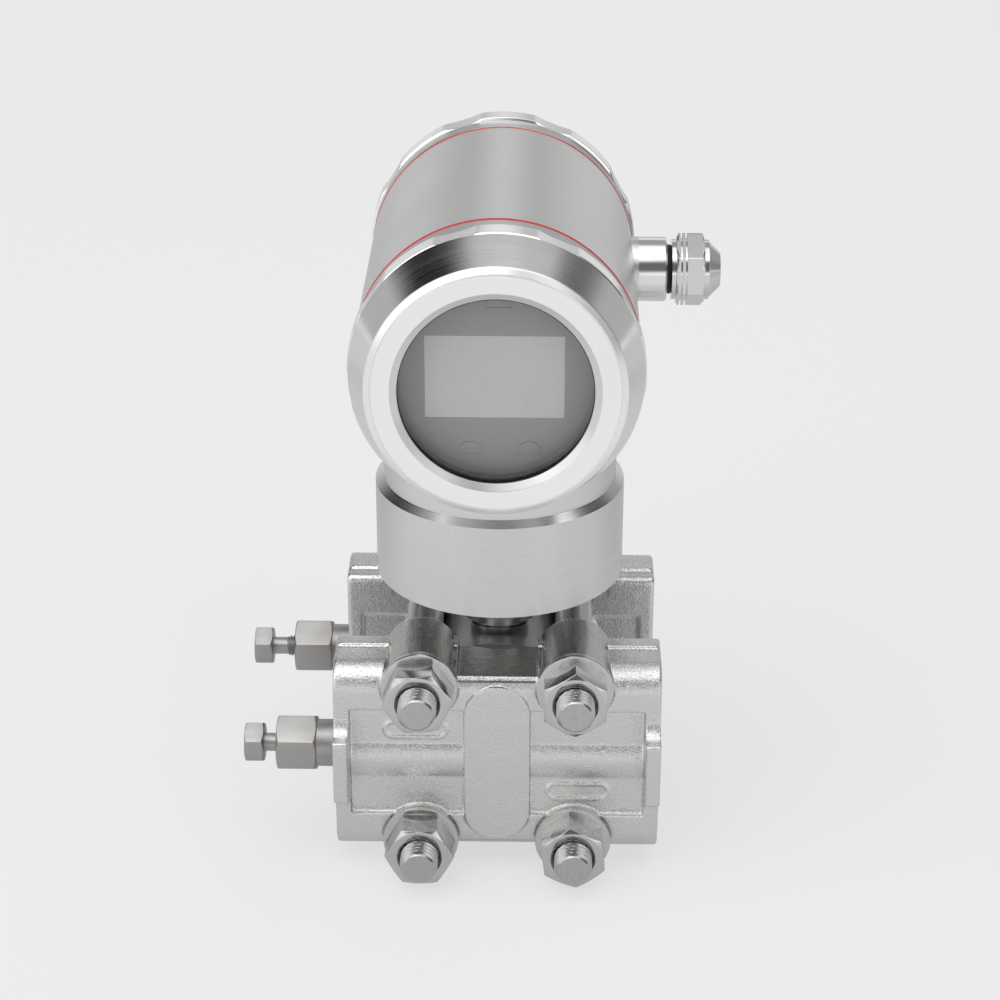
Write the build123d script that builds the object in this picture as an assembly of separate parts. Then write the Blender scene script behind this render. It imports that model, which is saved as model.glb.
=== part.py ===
from build123d import *
from math import cos, pi, radians, sin, sqrt
import os

# Differential pressure transmitter in stainless steel, in millimetres.
# Two cast process flanges clamp a round sensor capsule between them. A neck on the
# capsule carries a hub, and the tubular electronics housing turns on that hub.
# The pieces are modelled round the sensor: x = 0 and y = 0 on the neck's axis, z = 0 on the
# port axis, the display looking along -Y. On export they move so that the origin is the
# centre of the manifold bolt pattern on the flanges' +X ends.

# Process interface, a standard pattern for manifolds
port_spacing = 54.0
manifold_bolt_spacing = 41.3
manifold_tap_radius = 4.25
manifold_tap_depth = 13.0
port_tap_radius = 5.75
port_tap_depth = 15.0
port_channel_radius = 2.5
chamber_channel_radius = 2.0

# Cast process flange
flange_half_width = 42.7
flange_inner_reach = 10.4
flange_outer_reach = 10.1
flange_half_height = 27.6
outer_roll_radius = 7.0
inner_roll_radius = 2.0
ridge_thickness = 2.4
ridge_half_height = 28.4
ridge_inward = 4.35
ridge_corner_radius = 2.0
end_rim_width = 4.1
end_edge_radius = 0.8
panel_depth = 1.75
panel_half_height = 15.75
panel_inner_depth = 0.7
rib_half_height = 5.0
seat_pad_radius = 29.5
middle_pad_half_width = 8.6
middle_pad_half_height = 23.0
middle_pad_proud = 0.45
top_flat_z = 24.1
top_flat_reach = 8.2
end_block_half_height = 9.1
end_block_ledge = 2.9
end_block_ramp = 5.6
end_block_reach = 16.3
end_block_sink = 0.2
cast_outline_length = 16.8
cast_outline_height = 5.2
cast_outline_line = 0.7
cast_outline_proud = 0.35
cast_outline_x = 21.3
cast_outline_z = 9.2

# Flange bolts
bolt_half_width = 20.2
bolt_half_height = 23.0
bolt_diameter = 10.0
bolt_clearance = 0.25
bolt_point_chamfer = 1.0
nut_countersink = 0.9
hexagon_crown = 0.2
bolt_end_past_nut = 5.2
bolt_head_across_flats = 16.0
bolt_head_height = 6.4
nut_across_flats = 16.0
nut_height = 8.4
washer_radius = 10.0
washer_thickness = 2.0
boss_radius = 9.75
boss_reach = 9.7
spot_face_margin = 0.4
upper_nut_turns = (-6.0, 30.0)
lower_nut_turns = (0.0, 24.0)
upper_head_turns = (0.0, 0.0)
lower_head_turns = (30.0, 30.0)

# Sensor capsule
capsule_radius = 25.0
diaphragm_radius = 17.0
diaphragm_thickness = 0.3
diaphragm_wave = 0.35
diaphragm_waves = 4
diaphragm_recess = 1.1
chamber_radius = 17.6
chamber_depth = 1.2
gasket_width = 3.0
gasket_outer_radius = 22.0
gasket_thickness = 1.5
gasket_clearance = 0.05

# Neck and hub
neck_radius = 10.2
neck_seat_z = 23.3
neck_waist_radius = 7.6
neck_waist_height = 2.6
neck_seat_margin = 0.4
hub_bottom_z = 41.6
hub_height = 12.0
hub_stem_radius = 11.0
hub_stem_height = 6.0
hub_groove_height = 6.0
hub_groove_depth = 1.6
hub_bore_radius = 5.0
hub_seal_section = 2.0
hub_seal_drop = 1.2
head_seat_gap = 0.3
sensor_board_radius = 17.0
sensor_connector_length = 12.0
sensor_connector_width = 5.0
sensor_connector_height = 3.0
sensor_hole_radius = 1.5
sensor_hole_y = 10.0
board_thickness = 1.6

# Collar
collar_radius = 32.85
collar_bottom_z = 41.05
collar_top_z = 67.8
collar_chamfer_height = 1.5
collar_wall = 3.3
collar_upper_step = 2.4
hub_running_gap = 0.08
neck_spigot_wall = 4.2
grub_screw_diameter = 5.0
grub_screw_z = 46.2
grub_screw_length = 3.2
grub_hex_across_flats = 2.5
grub_hex_depth = 1.8
grub_recess = 0.4
thread_gap = 0.05

# Housing
housing_axis_z = 115.25
tube_radius = 35.0
tube_half_length = 37.3
tube_bore_radius = 29.5
cap_spigot_radius = 32.0
cap_spigot_length = 11.2
spigot_relief_width = 1.6
spigot_relief_depth = 0.6
spigot_relief_start = 0.4
spigot_lead = 0.8
partition_front_y = 14.0
partition_thickness = 4.0
partition_hole_radius = 8.0
partition_hole_drop = 18.0
neck_bore_overrun = 3.0
housing_neck_radius = 30.7
neck_spigot_depth = 9.0
neck_bore_radius = 12.5
cable_boss_radius = 8.55
cable_boss_reach = 43.6
cable_axis_inset = 11.3
cable_axis_z = 115.2
cable_thread_radius = 6.0
cable_boss_chamfer = 0.5

# Caps
cap_seal_width = 1.0
cap_seal_bulge = 0.25
cap_seal_radius = 35.15
cap_skirt_radius = 35.0
cap_skirt_length = 7.0
cap_lead = 0.4
cap_thread_overrun = 1.5
grip_width = 5.7
grip_step = 0.3
front_grip_angle = 86.0
rear_grip_angle = 88.0
grip_radius = 35.8
grip_count = 9
grip_gap_angle = 17.0
grip_cut_radius = 40.0
display_cap_length = 25.0
display_cone_start_radius = 35.5
display_cone_end_radius = 31.5
display_face_radius = 30.34
display_bevel = 1.2
window_radius = 25.0
window_lip_radius = 23.3
window_lip = 1.2
glass_pocket_radius = 27.45
glass_radius = 27.4
glass_thickness = 6.0
window_gasket_radius = 23.1
window_gasket_thickness = 0.6
retaining_ring_bore = 24.0
retaining_ring_width = 2.2
retaining_ring_notch = 1.6
rear_cap_length = 15.4
rear_face_bevel = 0.3
rear_face_radius = 31.1
rear_bevel_radius = 34.9
rear_plate_thickness = 3.0

# Display and electronics
display_recess = 10.8
display_radius = 26.6
display_wall = 1.5
display_front_thickness = 2.5
lcd_width = 33.2
lcd_height = 20.8
lcd_thickness = 1.4
lcd_below_face = 0.1
lcd_clearance = 0.05
lcd_centre_x = -0.4
lcd_centre_z = 0.9
display_screw_radius = 2.9
display_screw_height = 0.5
display_screw_slot = 0.6
display_screw_shank_radius = 1.25
display_screw_places = ((-6.3, -18.4), (7.9, -18.4), (0.6, 18.9))
display_front_to_board = 11.9
board_margin = 0.4
display_chip_size = 10.0
display_chip_height = 2.0
display_chip_z = 4.0
module_radius = 24.0
module_rim = 1.0
module_notch_depth = 6.0
module_notch_radius = 6.0
module_notch_drop = 14.0
terminal_block_radius = 21.0
terminal_block_thickness = 13.0
terminal_step = 5.0
terminal_step_z = -4.0
terminal_screw_z = 5.0
terminal_shank_radius = 1.55
terminal_floor = 3.0
terminal_screw_radius = 3.2
terminal_screw_head = 2.2
terminal_screw_sink = 1.0
terminal_well_gap = 0.2
terminal_screw_spacing = 12.0
terminal_slot_width = 0.8
terminal_slot_depth = 1.0

# Cable gland
gland_shank_length = 12.0
gland_seal_ring_width = 1.3
gland_seal_ring_radius = 6.6
gland_flange_width = 1.1
gland_flange_radius = 8.0
gland_sleeve_radius = 5.6
gland_sleeve_length = 6.4
gland_bore_radius = 4.4
gland_nut_hex = 17.0
gland_nut_hex_length = 7.4
gland_nut_ring_radius = 7.9
gland_nut_ring_width = 1.3
gland_dome_radius = 7.5
gland_dome_end_radius = 4.7
gland_dome_length = 3.0
gland_nut_turn = -6.0
gland_nut_gap = 0.1
gland_groove_places = (1.1, 2.3)
gland_groove_width = 0.5
gland_groove_depth = 0.35
cable_radius = 3.6
gland_seal_length = 4.6

# Vent valves
vent_shank_length = 12.0
vent_collar_radius = 6.25
vent_collar_width = 5.2
vent_hex = 14.0
vent_hex_length = 10.6
vent_body_bore_radius = 3.05
vent_seat_bore_radius = 1.6
vent_hole_radius = 0.9
vent_screw_radius = 2.95
vent_screw_neck = 3.5
vent_screw_hex = 10.0
vent_screw_head_length = 5.1
vent_ball_cup_depth = 0.6
vent_ball_radius = 2.0
rear_vent_open = 3.0
front_vent_hex_turn = 0.0
rear_vent_hex_turn = 0.0

flange_mid_y = port_spacing / 2
flange_inner_y = flange_mid_y - flange_inner_reach
panel_reach = flange_outer_reach - panel_depth
rib_radius = sqrt(panel_reach ** 2 + rib_half_height ** 2)
gasket_inner_radius = gasket_outer_radius - gasket_width
seat_y = flange_mid_y + boss_reach
hub_top_z = hub_bottom_z + hub_height
collar_bore_radius = collar_radius - collar_wall
hub_radius = collar_bore_radius - hub_running_gap
neck_spigot_bottom_z = collar_top_z - neck_spigot_depth
neck_spigot_radius = collar_radius - collar_wall - collar_upper_step
cable_axis_y = tube_half_length - cable_axis_inset
cap_seal_end = tube_half_length + cap_seal_width
grip_start = tube_half_length + cap_skirt_length
grip_end = grip_start + grip_width
display_face_y = tube_half_length + display_cap_length
display_face_back = display_face_y - display_recess
rear_face_y = tube_half_length + rear_cap_length
spigot_end = tube_half_length + cap_spigot_length
cap_thread_radius = cap_spigot_radius + thread_gap
partition_back_y = partition_front_y + partition_thickness
gland_face_x = cable_boss_reach + gland_seal_ring_width
gland_nut_x = gland_face_x + gland_flange_width + gland_nut_gap
vent_hex_x = -flange_half_width - vent_collar_width
vent_end_x = vent_hex_x - vent_hex_length


def turned(points, axis):
    """A solid of revolution from (along, radius) points, about the X, Y or Z axis."""
    if axis == "X":
        outline = Polyline([(along, radius) for along, radius in points], close=True)
        return revolve(make_face(outline), Axis.X)
    if axis == "Y":
        outline = Polyline([(radius, along) for along, radius in points], close=True)
        return revolve(make_face(outline), Axis.Y)
    outline = Polyline([(radius, 0, along) for along, radius in points], close=True)
    return revolve(make_face(outline), Axis.Z)


def ring_points(start, end, inner, outer):
    return [(start, inner), (end, inner), (end, outer), (start, outer)]


def rod_x(radius, start, end, y=0.0, z=0.0):
    middle = (start + end) / 2
    return Pos(middle, y, z) * Rot(0, 90, 0) * Cylinder(radius, abs(end - start))


def rod_y(radius, start, end, x=0.0, z=0.0):
    middle = (start + end) / 2
    return Pos(x, middle, z) * Rot(90, 0, 0) * Cylinder(radius, abs(end - start))


def rod_z(radius, start, end, x=0.0, y=0.0):
    middle = (start + end) / 2
    return Pos(x, y, middle) * Cylinder(radius, abs(end - start))


def hexagon(across_flats, turn):
    return RegularPolygon(across_flats / 2, 6, major_radius=False, rotation=turn)


def hex_bar_y(across_flats, start, end, turn):
    """A hexagonal bar along Y, between y = start and y = end."""
    face = Plane(origin=(0, start, 0), x_dir=(1, 0, 0), z_dir=(0, 1, 0)) * hexagon(across_flats, turn)
    return extrude(face, end - start)


def hex_bar_x(across_flats, start, end, turn):
    """A hexagonal bar along X, between x = start and x = end."""
    face = Plane(origin=(start, 0, 0), x_dir=(0, 1, 0), z_dir=(1, 0, 0)) * hexagon(across_flats, turn)
    return extrude(face, end - start)


def corner_radius(across_flats):
    return across_flats / sqrt(3)


def crowned(across_flats, start, end, crown):
    """The turned blank that rounds off a hexagon's corners, along one axis."""
    corner = corner_radius(across_flats) + 0.01
    flat = across_flats / 2 - hexagon_crown
    rise = (corner - flat) * 0.55
    start_radius = flat if crown in ("both", "start") else corner
    end_radius = flat if crown in ("both", "end") else corner
    sign = 1 if end > start else -1
    start_rise = sign * rise if start_radius == flat else 0
    end_rise = sign * rise if end_radius == flat else 0
    points = [(start, 0), (start, start_radius)]
    if start_rise:
        points.append((start + start_rise, corner))
    if end_rise:
        points.append((end - end_rise, corner))
    points += [(end, end_radius), (end, 0)]
    return points


# Cast process flange, drawn about its own middle with the outer face towards +Y
def flange_casting():
    """The rounded bar with its ridge, rims, panels, rib, pad and bolt bosses."""
    casting = extrude(Plane.YZ * flange_section(), flange_half_width, both=True)
    ends = casting.edges().filter_by(lambda edge: abs(abs(edge.center().X) - flange_half_width) < 0.01)
    casting = fillet(ends, end_edge_radius)
    casting = casting + parting_ridge() + end_blocks()
    casting = casting - outer_panels() - inner_panels()
    rib = rod_x(rib_radius, -flange_half_width + end_rim_width, flange_half_width - end_rim_width)
    outer_half = Pos(0, rib_radius, 0) * Box(2 * flange_half_width, 2 * rib_radius, 2 * rib_radius)
    casting = casting + (rib & outer_half) + middle_pad()
    for x in (-bolt_half_width, bolt_half_width):
        for z in (-bolt_half_height, bolt_half_height):
            casting = casting + rod_y(boss_radius, -flange_inner_reach, boss_reach, x, z)
    return casting - top_flats()


def flange_section():
    """The bar's section: broad rolls on the outer side and small ones towards the capsule."""
    thickness = flange_inner_reach + flange_outer_reach
    middle = (flange_outer_reach - flange_inner_reach) / 2
    section = Pos(middle, 0) * Rectangle(thickness, 2 * flange_half_height)
    section = fillet(section.vertices().sort_by(Axis.X)[-2:], outer_roll_radius)
    return fillet(section.vertices().sort_by(Axis.X)[:2], inner_roll_radius)


def parting_ridge():
    """The thin ridge left along the casting's parting plane, rounded at its corners."""
    face = Plane.XZ * RectangleRounded(2 * flange_half_width, 2 * ridge_half_height, ridge_corner_radius)
    return Pos(0, -ridge_inward, 0) * extrude(face, ridge_thickness / 2, both=True)


def end_blocks():
    """The blocks round the ports at both ends, with hollow ramps that run down from the rolls."""
    top = end_block_half_height
    foot = end_block_half_height + end_block_ramp
    ledge = end_block_reach - end_block_ledge
    root = flange_outer_reach - end_block_sink
    hollow = ((ledge + 2 * root) / 3, (foot + 2 * top) / 3)
    upper = [Line((0, foot), (root, foot)), ThreePointArc((root, foot), hollow, (ledge, top)),
             Line((ledge, top), (end_block_reach, top))]
    lower = [mirror(edge, Plane.XZ) for edge in upper]
    sides = [Line((0, -foot), (0, foot)), Line((end_block_reach, top), (end_block_reach, -top))]
    outline = make_face(upper + lower + sides)
    block = extrude(Plane.YZ * outline, end_rim_width / 2, both=True)
    middle = flange_half_width - end_rim_width / 2
    front = block.faces().sort_by(Axis.Y)[-1]
    block = fillet(front.edges(), end_edge_radius)
    return Pos(middle, 0, 0) * block + Pos(-middle, 0, 0) * block


def outer_panels():
    """The shallow panels between the rims, on the face that looks outwards."""
    length = 2 * (flange_half_width - end_rim_width)
    depth = end_block_reach
    return Pos(0, panel_reach + depth / 2, 0) * Box(length, depth, 2 * panel_half_height)


def inner_panels():
    """The same panels on the inner face, left out where the round seat for the capsule stands."""
    length = 2 * (flange_half_width - end_rim_width)
    box = Pos(0, -flange_inner_reach, 0) * Box(length, 2 * panel_inner_depth, 2 * panel_half_height)
    return box - rod_y(seat_pad_radius, -flange_inner_reach - 1, -flange_inner_reach + 1)


def middle_pad():
    """The tall round-ended pad in the middle of the outer face."""
    straight = 2 * (middle_pad_half_height - middle_pad_half_width)
    face = Plane.XZ * Rot(0, 0, 90) * SlotCenterToCenter(straight, 2 * middle_pad_half_width)
    return extrude(face, -(flange_outer_reach + middle_pad_proud))


def top_flats():
    """The flats milled across the top and the bottom, between the bolt bosses."""
    width = 2 * (bolt_half_width - boss_radius)
    reach = flange_inner_reach + top_flat_reach
    height = ridge_half_height
    cut = Box(width, reach, height)
    y = top_flat_reach - reach / 2
    return Pos(0, y, top_flat_z + height / 2) * cut + Pos(0, y, -top_flat_z - height / 2) * cut


def cast_outlines():
    """Two empty round-ended outlines that stand proud of the panels."""
    outer = SlotOverall(cast_outline_length, cast_outline_height)
    inner = SlotOverall(cast_outline_length - 2 * cast_outline_line,
                        cast_outline_height - 2 * cast_outline_line)
    depth = 2 * cast_outline_proud
    ring = Plane.XZ * (outer - inner)
    raised = Pos(0, panel_reach - depth / 2, 0) * extrude(ring, -depth)
    upper = Pos(cast_outline_x, 0, cast_outline_z) * raised
    lower = Pos(-cast_outline_x, 0, -cast_outline_z) * raised
    return upper + lower


def flange_holes():
    """Bolt holes, spot faces, the shallow chamber and the groove for the gasket."""
    inner = -flange_inner_reach
    cuts = rod_y(chamber_radius, inner - 1, inner + chamber_depth)
    groove = ring_points(inner - 1, inner + gasket_thickness + gasket_clearance,
                         gasket_inner_radius - gasket_clearance, gasket_outer_radius + gasket_clearance)
    cuts = cuts + turned(groove, "Y")
    for x in (-bolt_half_width, bolt_half_width):
        for z in (-bolt_half_height, bolt_half_height):
            cuts = cuts + rod_y(bolt_diameter / 2 + bolt_clearance, inner - 1, boss_reach + 1, x, z)
            cuts = cuts + rod_y(washer_radius + spot_face_margin, boss_reach, end_block_reach, x, z)
    return cuts


def port_holes():
    """Process port, vent port, the channel between them and the tapped manifold holes."""
    end = flange_half_width
    cuts = rod_x(port_tap_radius, end - port_tap_depth, end + 1)
    cuts = cuts + rod_x(port_tap_radius, -end - 1, -end + port_tap_depth)
    cuts = cuts + rod_x(port_channel_radius, -end, end)
    cuts = cuts + rod_y(chamber_channel_radius, -flange_inner_reach - 1, port_channel_radius / 2)
    for z in (-manifold_bolt_spacing / 2, manifold_bolt_spacing / 2):
        cuts = cuts + rod_x(manifold_tap_radius, end - manifold_tap_depth, end + 1, 0, z)
    return cuts


def process_flange(outward):
    """One flange, with outward = 1 for the rear one and -1 for the one under the display."""
    turn = 0 if outward > 0 else 180
    casting = Rot(0, 0, turn) * (flange_casting() + cast_outlines() - flange_holes())
    holes = port_holes()
    if outward < 0:
        holes = mirror(holes, Plane.XZ)
    return Pos(0, outward * flange_mid_y, 0) * (casting - holes)


# Flange bolts, nuts and washers
def bolt_places():
    """Each bolt's x and z, the turn of its nut and the turn of its head."""
    places = []
    for k, x in enumerate((-bolt_half_width, bolt_half_width)):
        places.append((x, bolt_half_height, upper_nut_turns[k], upper_head_turns[k]))
        places.append((x, -bolt_half_height, lower_nut_turns[k], lower_head_turns[k]))
    return places


def washer(start):
    points = ring_points(start, start + washer_thickness, bolt_diameter / 2 + bolt_clearance, washer_radius)
    return turned(points, "Y")


def nut_washers():
    return [Pos(x, 0, z) * washer(-seat_y - washer_thickness) for x, z, _, _ in bolt_places()]


def head_washers():
    return [Pos(x, 0, z) * washer(seat_y) for x, z, _, _ in bolt_places()]


def flange_nut(turn):
    start = -seat_y - washer_thickness
    end = start - nut_height
    bar = hex_bar_y(nut_across_flats, end, start, turn)
    blank = turned(crowned(nut_across_flats, start, end, "end"), "Y")
    countersink = [(end, 0), (end, bolt_diameter / 2 + nut_countersink),
                   (end + nut_countersink, bolt_diameter / 2), (start, 0)]
    hole = rod_y(bolt_diameter / 2 + thread_gap, end - 1, start + 1)
    return (bar & blank) - hole - turned(countersink, "Y")


def flange_nuts():
    return [Pos(x, 0, z) * flange_nut(turn) for x, z, turn, _ in bolt_places()]


def flange_bolt(turn):
    head = seat_y + washer_thickness
    tip = -seat_y - washer_thickness - nut_height - bolt_end_past_nut
    radius = bolt_diameter / 2
    shank = turned([(head, 0), (head, radius), (tip + bolt_point_chamfer, radius),
                    (tip, radius - bolt_point_chamfer), (tip, 0)], "Y")
    bar = hex_bar_y(bolt_head_across_flats, head, head + bolt_head_height, turn)
    blank = turned(crowned(bolt_head_across_flats, head, head + bolt_head_height, "end"), "Y")
    return shank + (bar & blank)


def flange_bolts():
    return [Pos(x, 0, z) * flange_bolt(turn) for x, z, _, turn in bolt_places()]


# Sensor capsule between the flanges
def capsule_body():
    """The round capsule, with a recess for a diaphragm in each face and a seat for the neck."""
    body = rod_y(capsule_radius, -flange_inner_y, flange_inner_y)
    for side in (-1, 1):
        body = body - rod_y(diaphragm_radius + gasket_clearance, side * (flange_inner_y - diaphragm_recess),
                            side * (flange_inner_y + 1))
    seat = rod_z(neck_waist_radius + neck_seat_margin, neck_seat_z, capsule_radius + 1)
    return body - seat


def diaphragm():
    """A thin disc pressed into round waves, whose rim lies in the recess of the capsule's face."""
    flat = diaphragm_radius * 0.25
    rim = diaphragm_radius * 0.9
    steps = 4 * diaphragm_waves
    front = [(0, 0)]
    for k in range(steps + 1):
        radius = flat + (rim - flat) * k / steps
        front.append((diaphragm_wave * sin(2 * pi * diaphragm_waves * k / steps), radius))
    front.append((0, diaphragm_radius))
    back = [(along + diaphragm_thickness, radius) for along, radius in reversed(front)]
    return turned(front + back, "Y")


def placed_diaphragm(side):
    """The diaphragm stands just off the recess floor, on the film of fill fluid behind it."""
    base = flange_inner_y - diaphragm_recess + diaphragm_wave + 0.05
    disc = Pos(0, base, 0) * diaphragm()
    return disc if side > 0 else mirror(disc, Plane.XZ)


def flange_gasket(side):
    points = ring_points(flange_inner_y, flange_inner_y + gasket_thickness,
                         gasket_inner_radius, gasket_outer_radius)
    ring = turned(points, "Y")
    return ring if side > 0 else mirror(ring, Plane.XZ)


# Neck with the hub that the housing turns on
def sensor_neck():
    """The turned neck: waist, column, hub with two grooves, and the stem for the board."""
    waist_top = neck_seat_z + neck_waist_height
    chamfer = neck_radius - neck_waist_radius
    groove_low = grub_screw_z - hub_groove_height / 2
    groove_high = grub_screw_z + hub_groove_height / 2
    seal_low = hub_top_z - hub_seal_drop - hub_seal_section
    seal_high = hub_top_z - hub_seal_drop
    seal_floor = collar_bore_radius - thread_gap - hub_seal_section
    stem_top = hub_top_z + hub_stem_height
    points = [(neck_seat_z, hub_bore_radius), (neck_seat_z, neck_waist_radius),
              (waist_top, neck_waist_radius), (waist_top + chamfer / 3, neck_radius),
              (hub_bottom_z, neck_radius), (hub_bottom_z, hub_radius), (groove_low, hub_radius),
              (groove_low, hub_radius - hub_groove_depth), (groove_high, hub_radius - hub_groove_depth),
              (groove_high, hub_radius), (seal_low, hub_radius), (seal_low, seal_floor),
              (seal_high, seal_floor), (seal_high, hub_radius), (hub_top_z, hub_radius),
              (hub_top_z, hub_stem_radius), (stem_top, hub_stem_radius), (stem_top, hub_bore_radius)]
    return turned(points, "Z")


def hub_o_ring():
    middle_z = hub_top_z - hub_seal_drop - hub_seal_section / 2
    middle_radius = collar_bore_radius - thread_gap - hub_seal_section / 2
    section = Pos(middle_radius, middle_z) * Circle(hub_seal_section / 2 - 0.01)
    return revolve(Plane.XZ * section, Axis.Z)


def sensor_board():
    base = hub_top_z + hub_stem_height
    board = rod_z(sensor_board_radius, base, base + board_thickness)
    connector = Box(sensor_connector_length, sensor_connector_width, sensor_connector_height)
    connector = Pos(0, 0, base + board_thickness + sensor_connector_height / 2) * connector
    hole = rod_z(sensor_hole_radius, base - 1, base + board_thickness + 1, 0, sensor_hole_y)
    return board + connector - hole


# Collar that joins the housing to the hub
def collar_ring():
    """The heavy turned ring: it runs on the hub below and takes the housing's spigot above."""
    shoulder_z = hub_top_z + head_seat_gap
    upper_bore = neck_spigot_radius + thread_gap
    chamfer_radius = housing_neck_radius + 0.05
    points = [(collar_bottom_z, collar_bore_radius), (collar_bottom_z, collar_radius),
              (collar_top_z - collar_chamfer_height, collar_radius), (collar_top_z, chamfer_radius),
              (collar_top_z, upper_bore), (shoulder_z, upper_bore), (shoulder_z, collar_bore_radius)]
    hole_radius = grub_screw_diameter / 2 + thread_gap
    hole = rod_y(hole_radius, collar_bore_radius - 1, collar_radius + 1, 0, grub_screw_z)
    return turned(points, "Z") - hole


def collar_grub_screw():
    start = sqrt(collar_radius ** 2 - grub_screw_diameter ** 2 / 4) - grub_recess - grub_screw_length
    end = start + grub_screw_length
    screw = rod_y(grub_screw_diameter / 2, start, end)
    socket = hex_bar_y(grub_hex_across_flats, end - grub_hex_depth, end + 1, 0)
    return Pos(0, 0, grub_screw_z) * (screw - socket)


# Housing
def housing_body():
    """The tube with a threaded spigot at each end, the partition, the neck and the cable boss."""
    tube = turned(housing_outline(), "Y")
    neck = rod_z(housing_neck_radius, collar_top_z - housing_axis_z, 0)
    spigot = rod_z(neck_spigot_radius, neck_spigot_bottom_z - housing_axis_z, 0)
    boss_end = cable_boss_reach
    boss_z = cable_axis_z - housing_axis_z
    boss_points = [(0, 0), (0, cable_boss_radius), (boss_end - cable_boss_chamfer, cable_boss_radius),
                   (boss_end, cable_boss_radius - cable_boss_chamfer), (boss_end, 0)]
    boss = Pos(0, cable_axis_y, boss_z) * turned(boss_points, "X")
    body = tube + neck + spigot + boss
    front_space = rod_y(tube_bore_radius, -spigot_end - 1, partition_front_y)
    rear_space = rod_y(tube_bore_radius, partition_back_y, spigot_end + 1)
    body = body - front_space - rear_space
    body = body - rod_z(neck_bore_radius, neck_spigot_bottom_z - housing_axis_z - 1,
                        neck_bore_overrun - tube_bore_radius)
    neck_mouth = neck_spigot_radius - neck_spigot_wall
    body = body - rod_z(neck_mouth, neck_spigot_bottom_z - housing_axis_z - 1, collar_top_z - housing_axis_z)
    body = body - rod_y(partition_hole_radius, partition_front_y - 1, partition_back_y + 1,
                        0, -partition_hole_drop)
    body = body - rod_x(cable_thread_radius, sqrt(tube_bore_radius ** 2 - cable_thread_radius ** 2) - 1,
                        boss_end + 1, cable_axis_y, boss_z)
    return Pos(0, 0, housing_axis_z) * body


def housing_outline():
    """Half outline of the solid tube with its spigots and the thread reliefs beside them."""
    root = cap_spigot_radius - spigot_relief_depth
    relief = cap_seal_end + spigot_relief_start
    right = [(tube_half_length, tube_radius), (tube_half_length, cap_spigot_radius),
             (relief, cap_spigot_radius), (relief, root), (relief + spigot_relief_width, root),
             (relief + spigot_relief_width, cap_spigot_radius),
             (spigot_end - spigot_lead, cap_spigot_radius),
             (spigot_end, cap_spigot_radius - spigot_lead), (spigot_end, 0)]
    left = [(-along, radius) for along, radius in reversed(right)]
    return left + right


def cap_o_ring(side):
    """The red ring squeezed between the tube's shoulder and the cap's skirt."""
    inner = cap_spigot_radius + thread_gap
    edge = cap_seal_radius - cap_seal_bulge
    outline = [(tube_half_length, inner), (cap_seal_end, inner), (cap_seal_end, edge),
               ((tube_half_length + cap_seal_end) / 2, cap_seal_radius), (tube_half_length, edge)]
    ring = turned(outline, "Y")
    return Pos(0, 0, housing_axis_z) * (ring if side > 0 else mirror(ring, Plane.XZ))


# Caps
def grip_cuts(first_angle):
    """The shallow hollows round a cap's grip, evenly spaced between the lands."""
    half_chord = grip_radius * sin(radians(grip_gap_angle / 2))
    chord_depth = grip_radius * cos(radians(grip_gap_angle / 2))
    centre = chord_depth + sqrt(grip_cut_radius ** 2 - half_chord ** 2)
    start = grip_start - cap_lead
    end = grip_end + grip_step
    cuts = []
    for k in range(grip_count):
        angle = radians(first_angle + 360.0 * (k + 0.5) / grip_count)
        cuts.append(rod_y(grip_cut_radius, start, end, centre * cos(angle), centre * sin(angle)))
    return cuts


def display_cap_outline():
    """Outline of the display cap's wall, from the seal to the window lip, along +Y."""
    lip = display_face_y - window_lip
    thread_end = spigot_end + cap_thread_overrun
    return [(cap_seal_end, cap_thread_radius), (cap_seal_end, cap_skirt_radius - cap_lead),
            (cap_seal_end + cap_lead, cap_skirt_radius), (grip_start - cap_lead, cap_skirt_radius),
            (grip_start, grip_radius), (grip_end, grip_radius),
            (grip_end + grip_step, display_cone_start_radius),
            (display_face_y - display_bevel, display_cone_end_radius),
            (display_face_y, display_face_radius), (display_face_y, window_radius),
            (lip + 0.1, window_lip_radius), (lip, window_lip_radius), (lip, glass_pocket_radius),
            (thread_end, glass_pocket_radius), (thread_end, cap_thread_radius)]


def display_cap():
    shell = turned(display_cap_outline(), "Y")
    for cut in grip_cuts(front_grip_angle):
        shell = shell - cut
    return Pos(0, 0, housing_axis_z) * mirror(shell, Plane.XZ)


def rear_cap():
    """The blank cap: the same grip and thread, closed by a flat plate."""
    plate_back = rear_face_y - rear_plate_thickness
    points = [(cap_seal_end, cap_thread_radius), (cap_seal_end, cap_skirt_radius - cap_lead),
              (cap_seal_end + cap_lead, cap_skirt_radius), (grip_start - cap_lead, cap_skirt_radius),
              (grip_start, grip_radius), (grip_end, grip_radius), (grip_end + grip_step, rear_bevel_radius),
              (rear_face_y - rear_face_bevel, rear_face_radius + rear_face_bevel),
              (rear_face_y, rear_face_radius), (rear_face_y, 0), (plate_back, 0),
              (plate_back, cap_thread_radius)]
    shell = turned(points, "Y")
    for cut in grip_cuts(rear_grip_angle):
        shell = shell - cut
    return Pos(0, 0, housing_axis_z) * shell


def window_piece(near, far, inner, outer):
    """A disc or ring of the window, between two distances from the display face."""
    start = display_face_y - window_lip - near
    end = display_face_y - window_lip - far
    ring = turned(ring_points(-start, -end, inner, outer), "Y")
    return Pos(0, 0, housing_axis_z) * ring


def window_gasket():
    return window_piece(0, window_gasket_thickness, window_gasket_radius, glass_radius)


def window_glass():
    near = window_gasket_thickness
    return window_piece(near, near + glass_thickness, 0, glass_radius)


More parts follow.
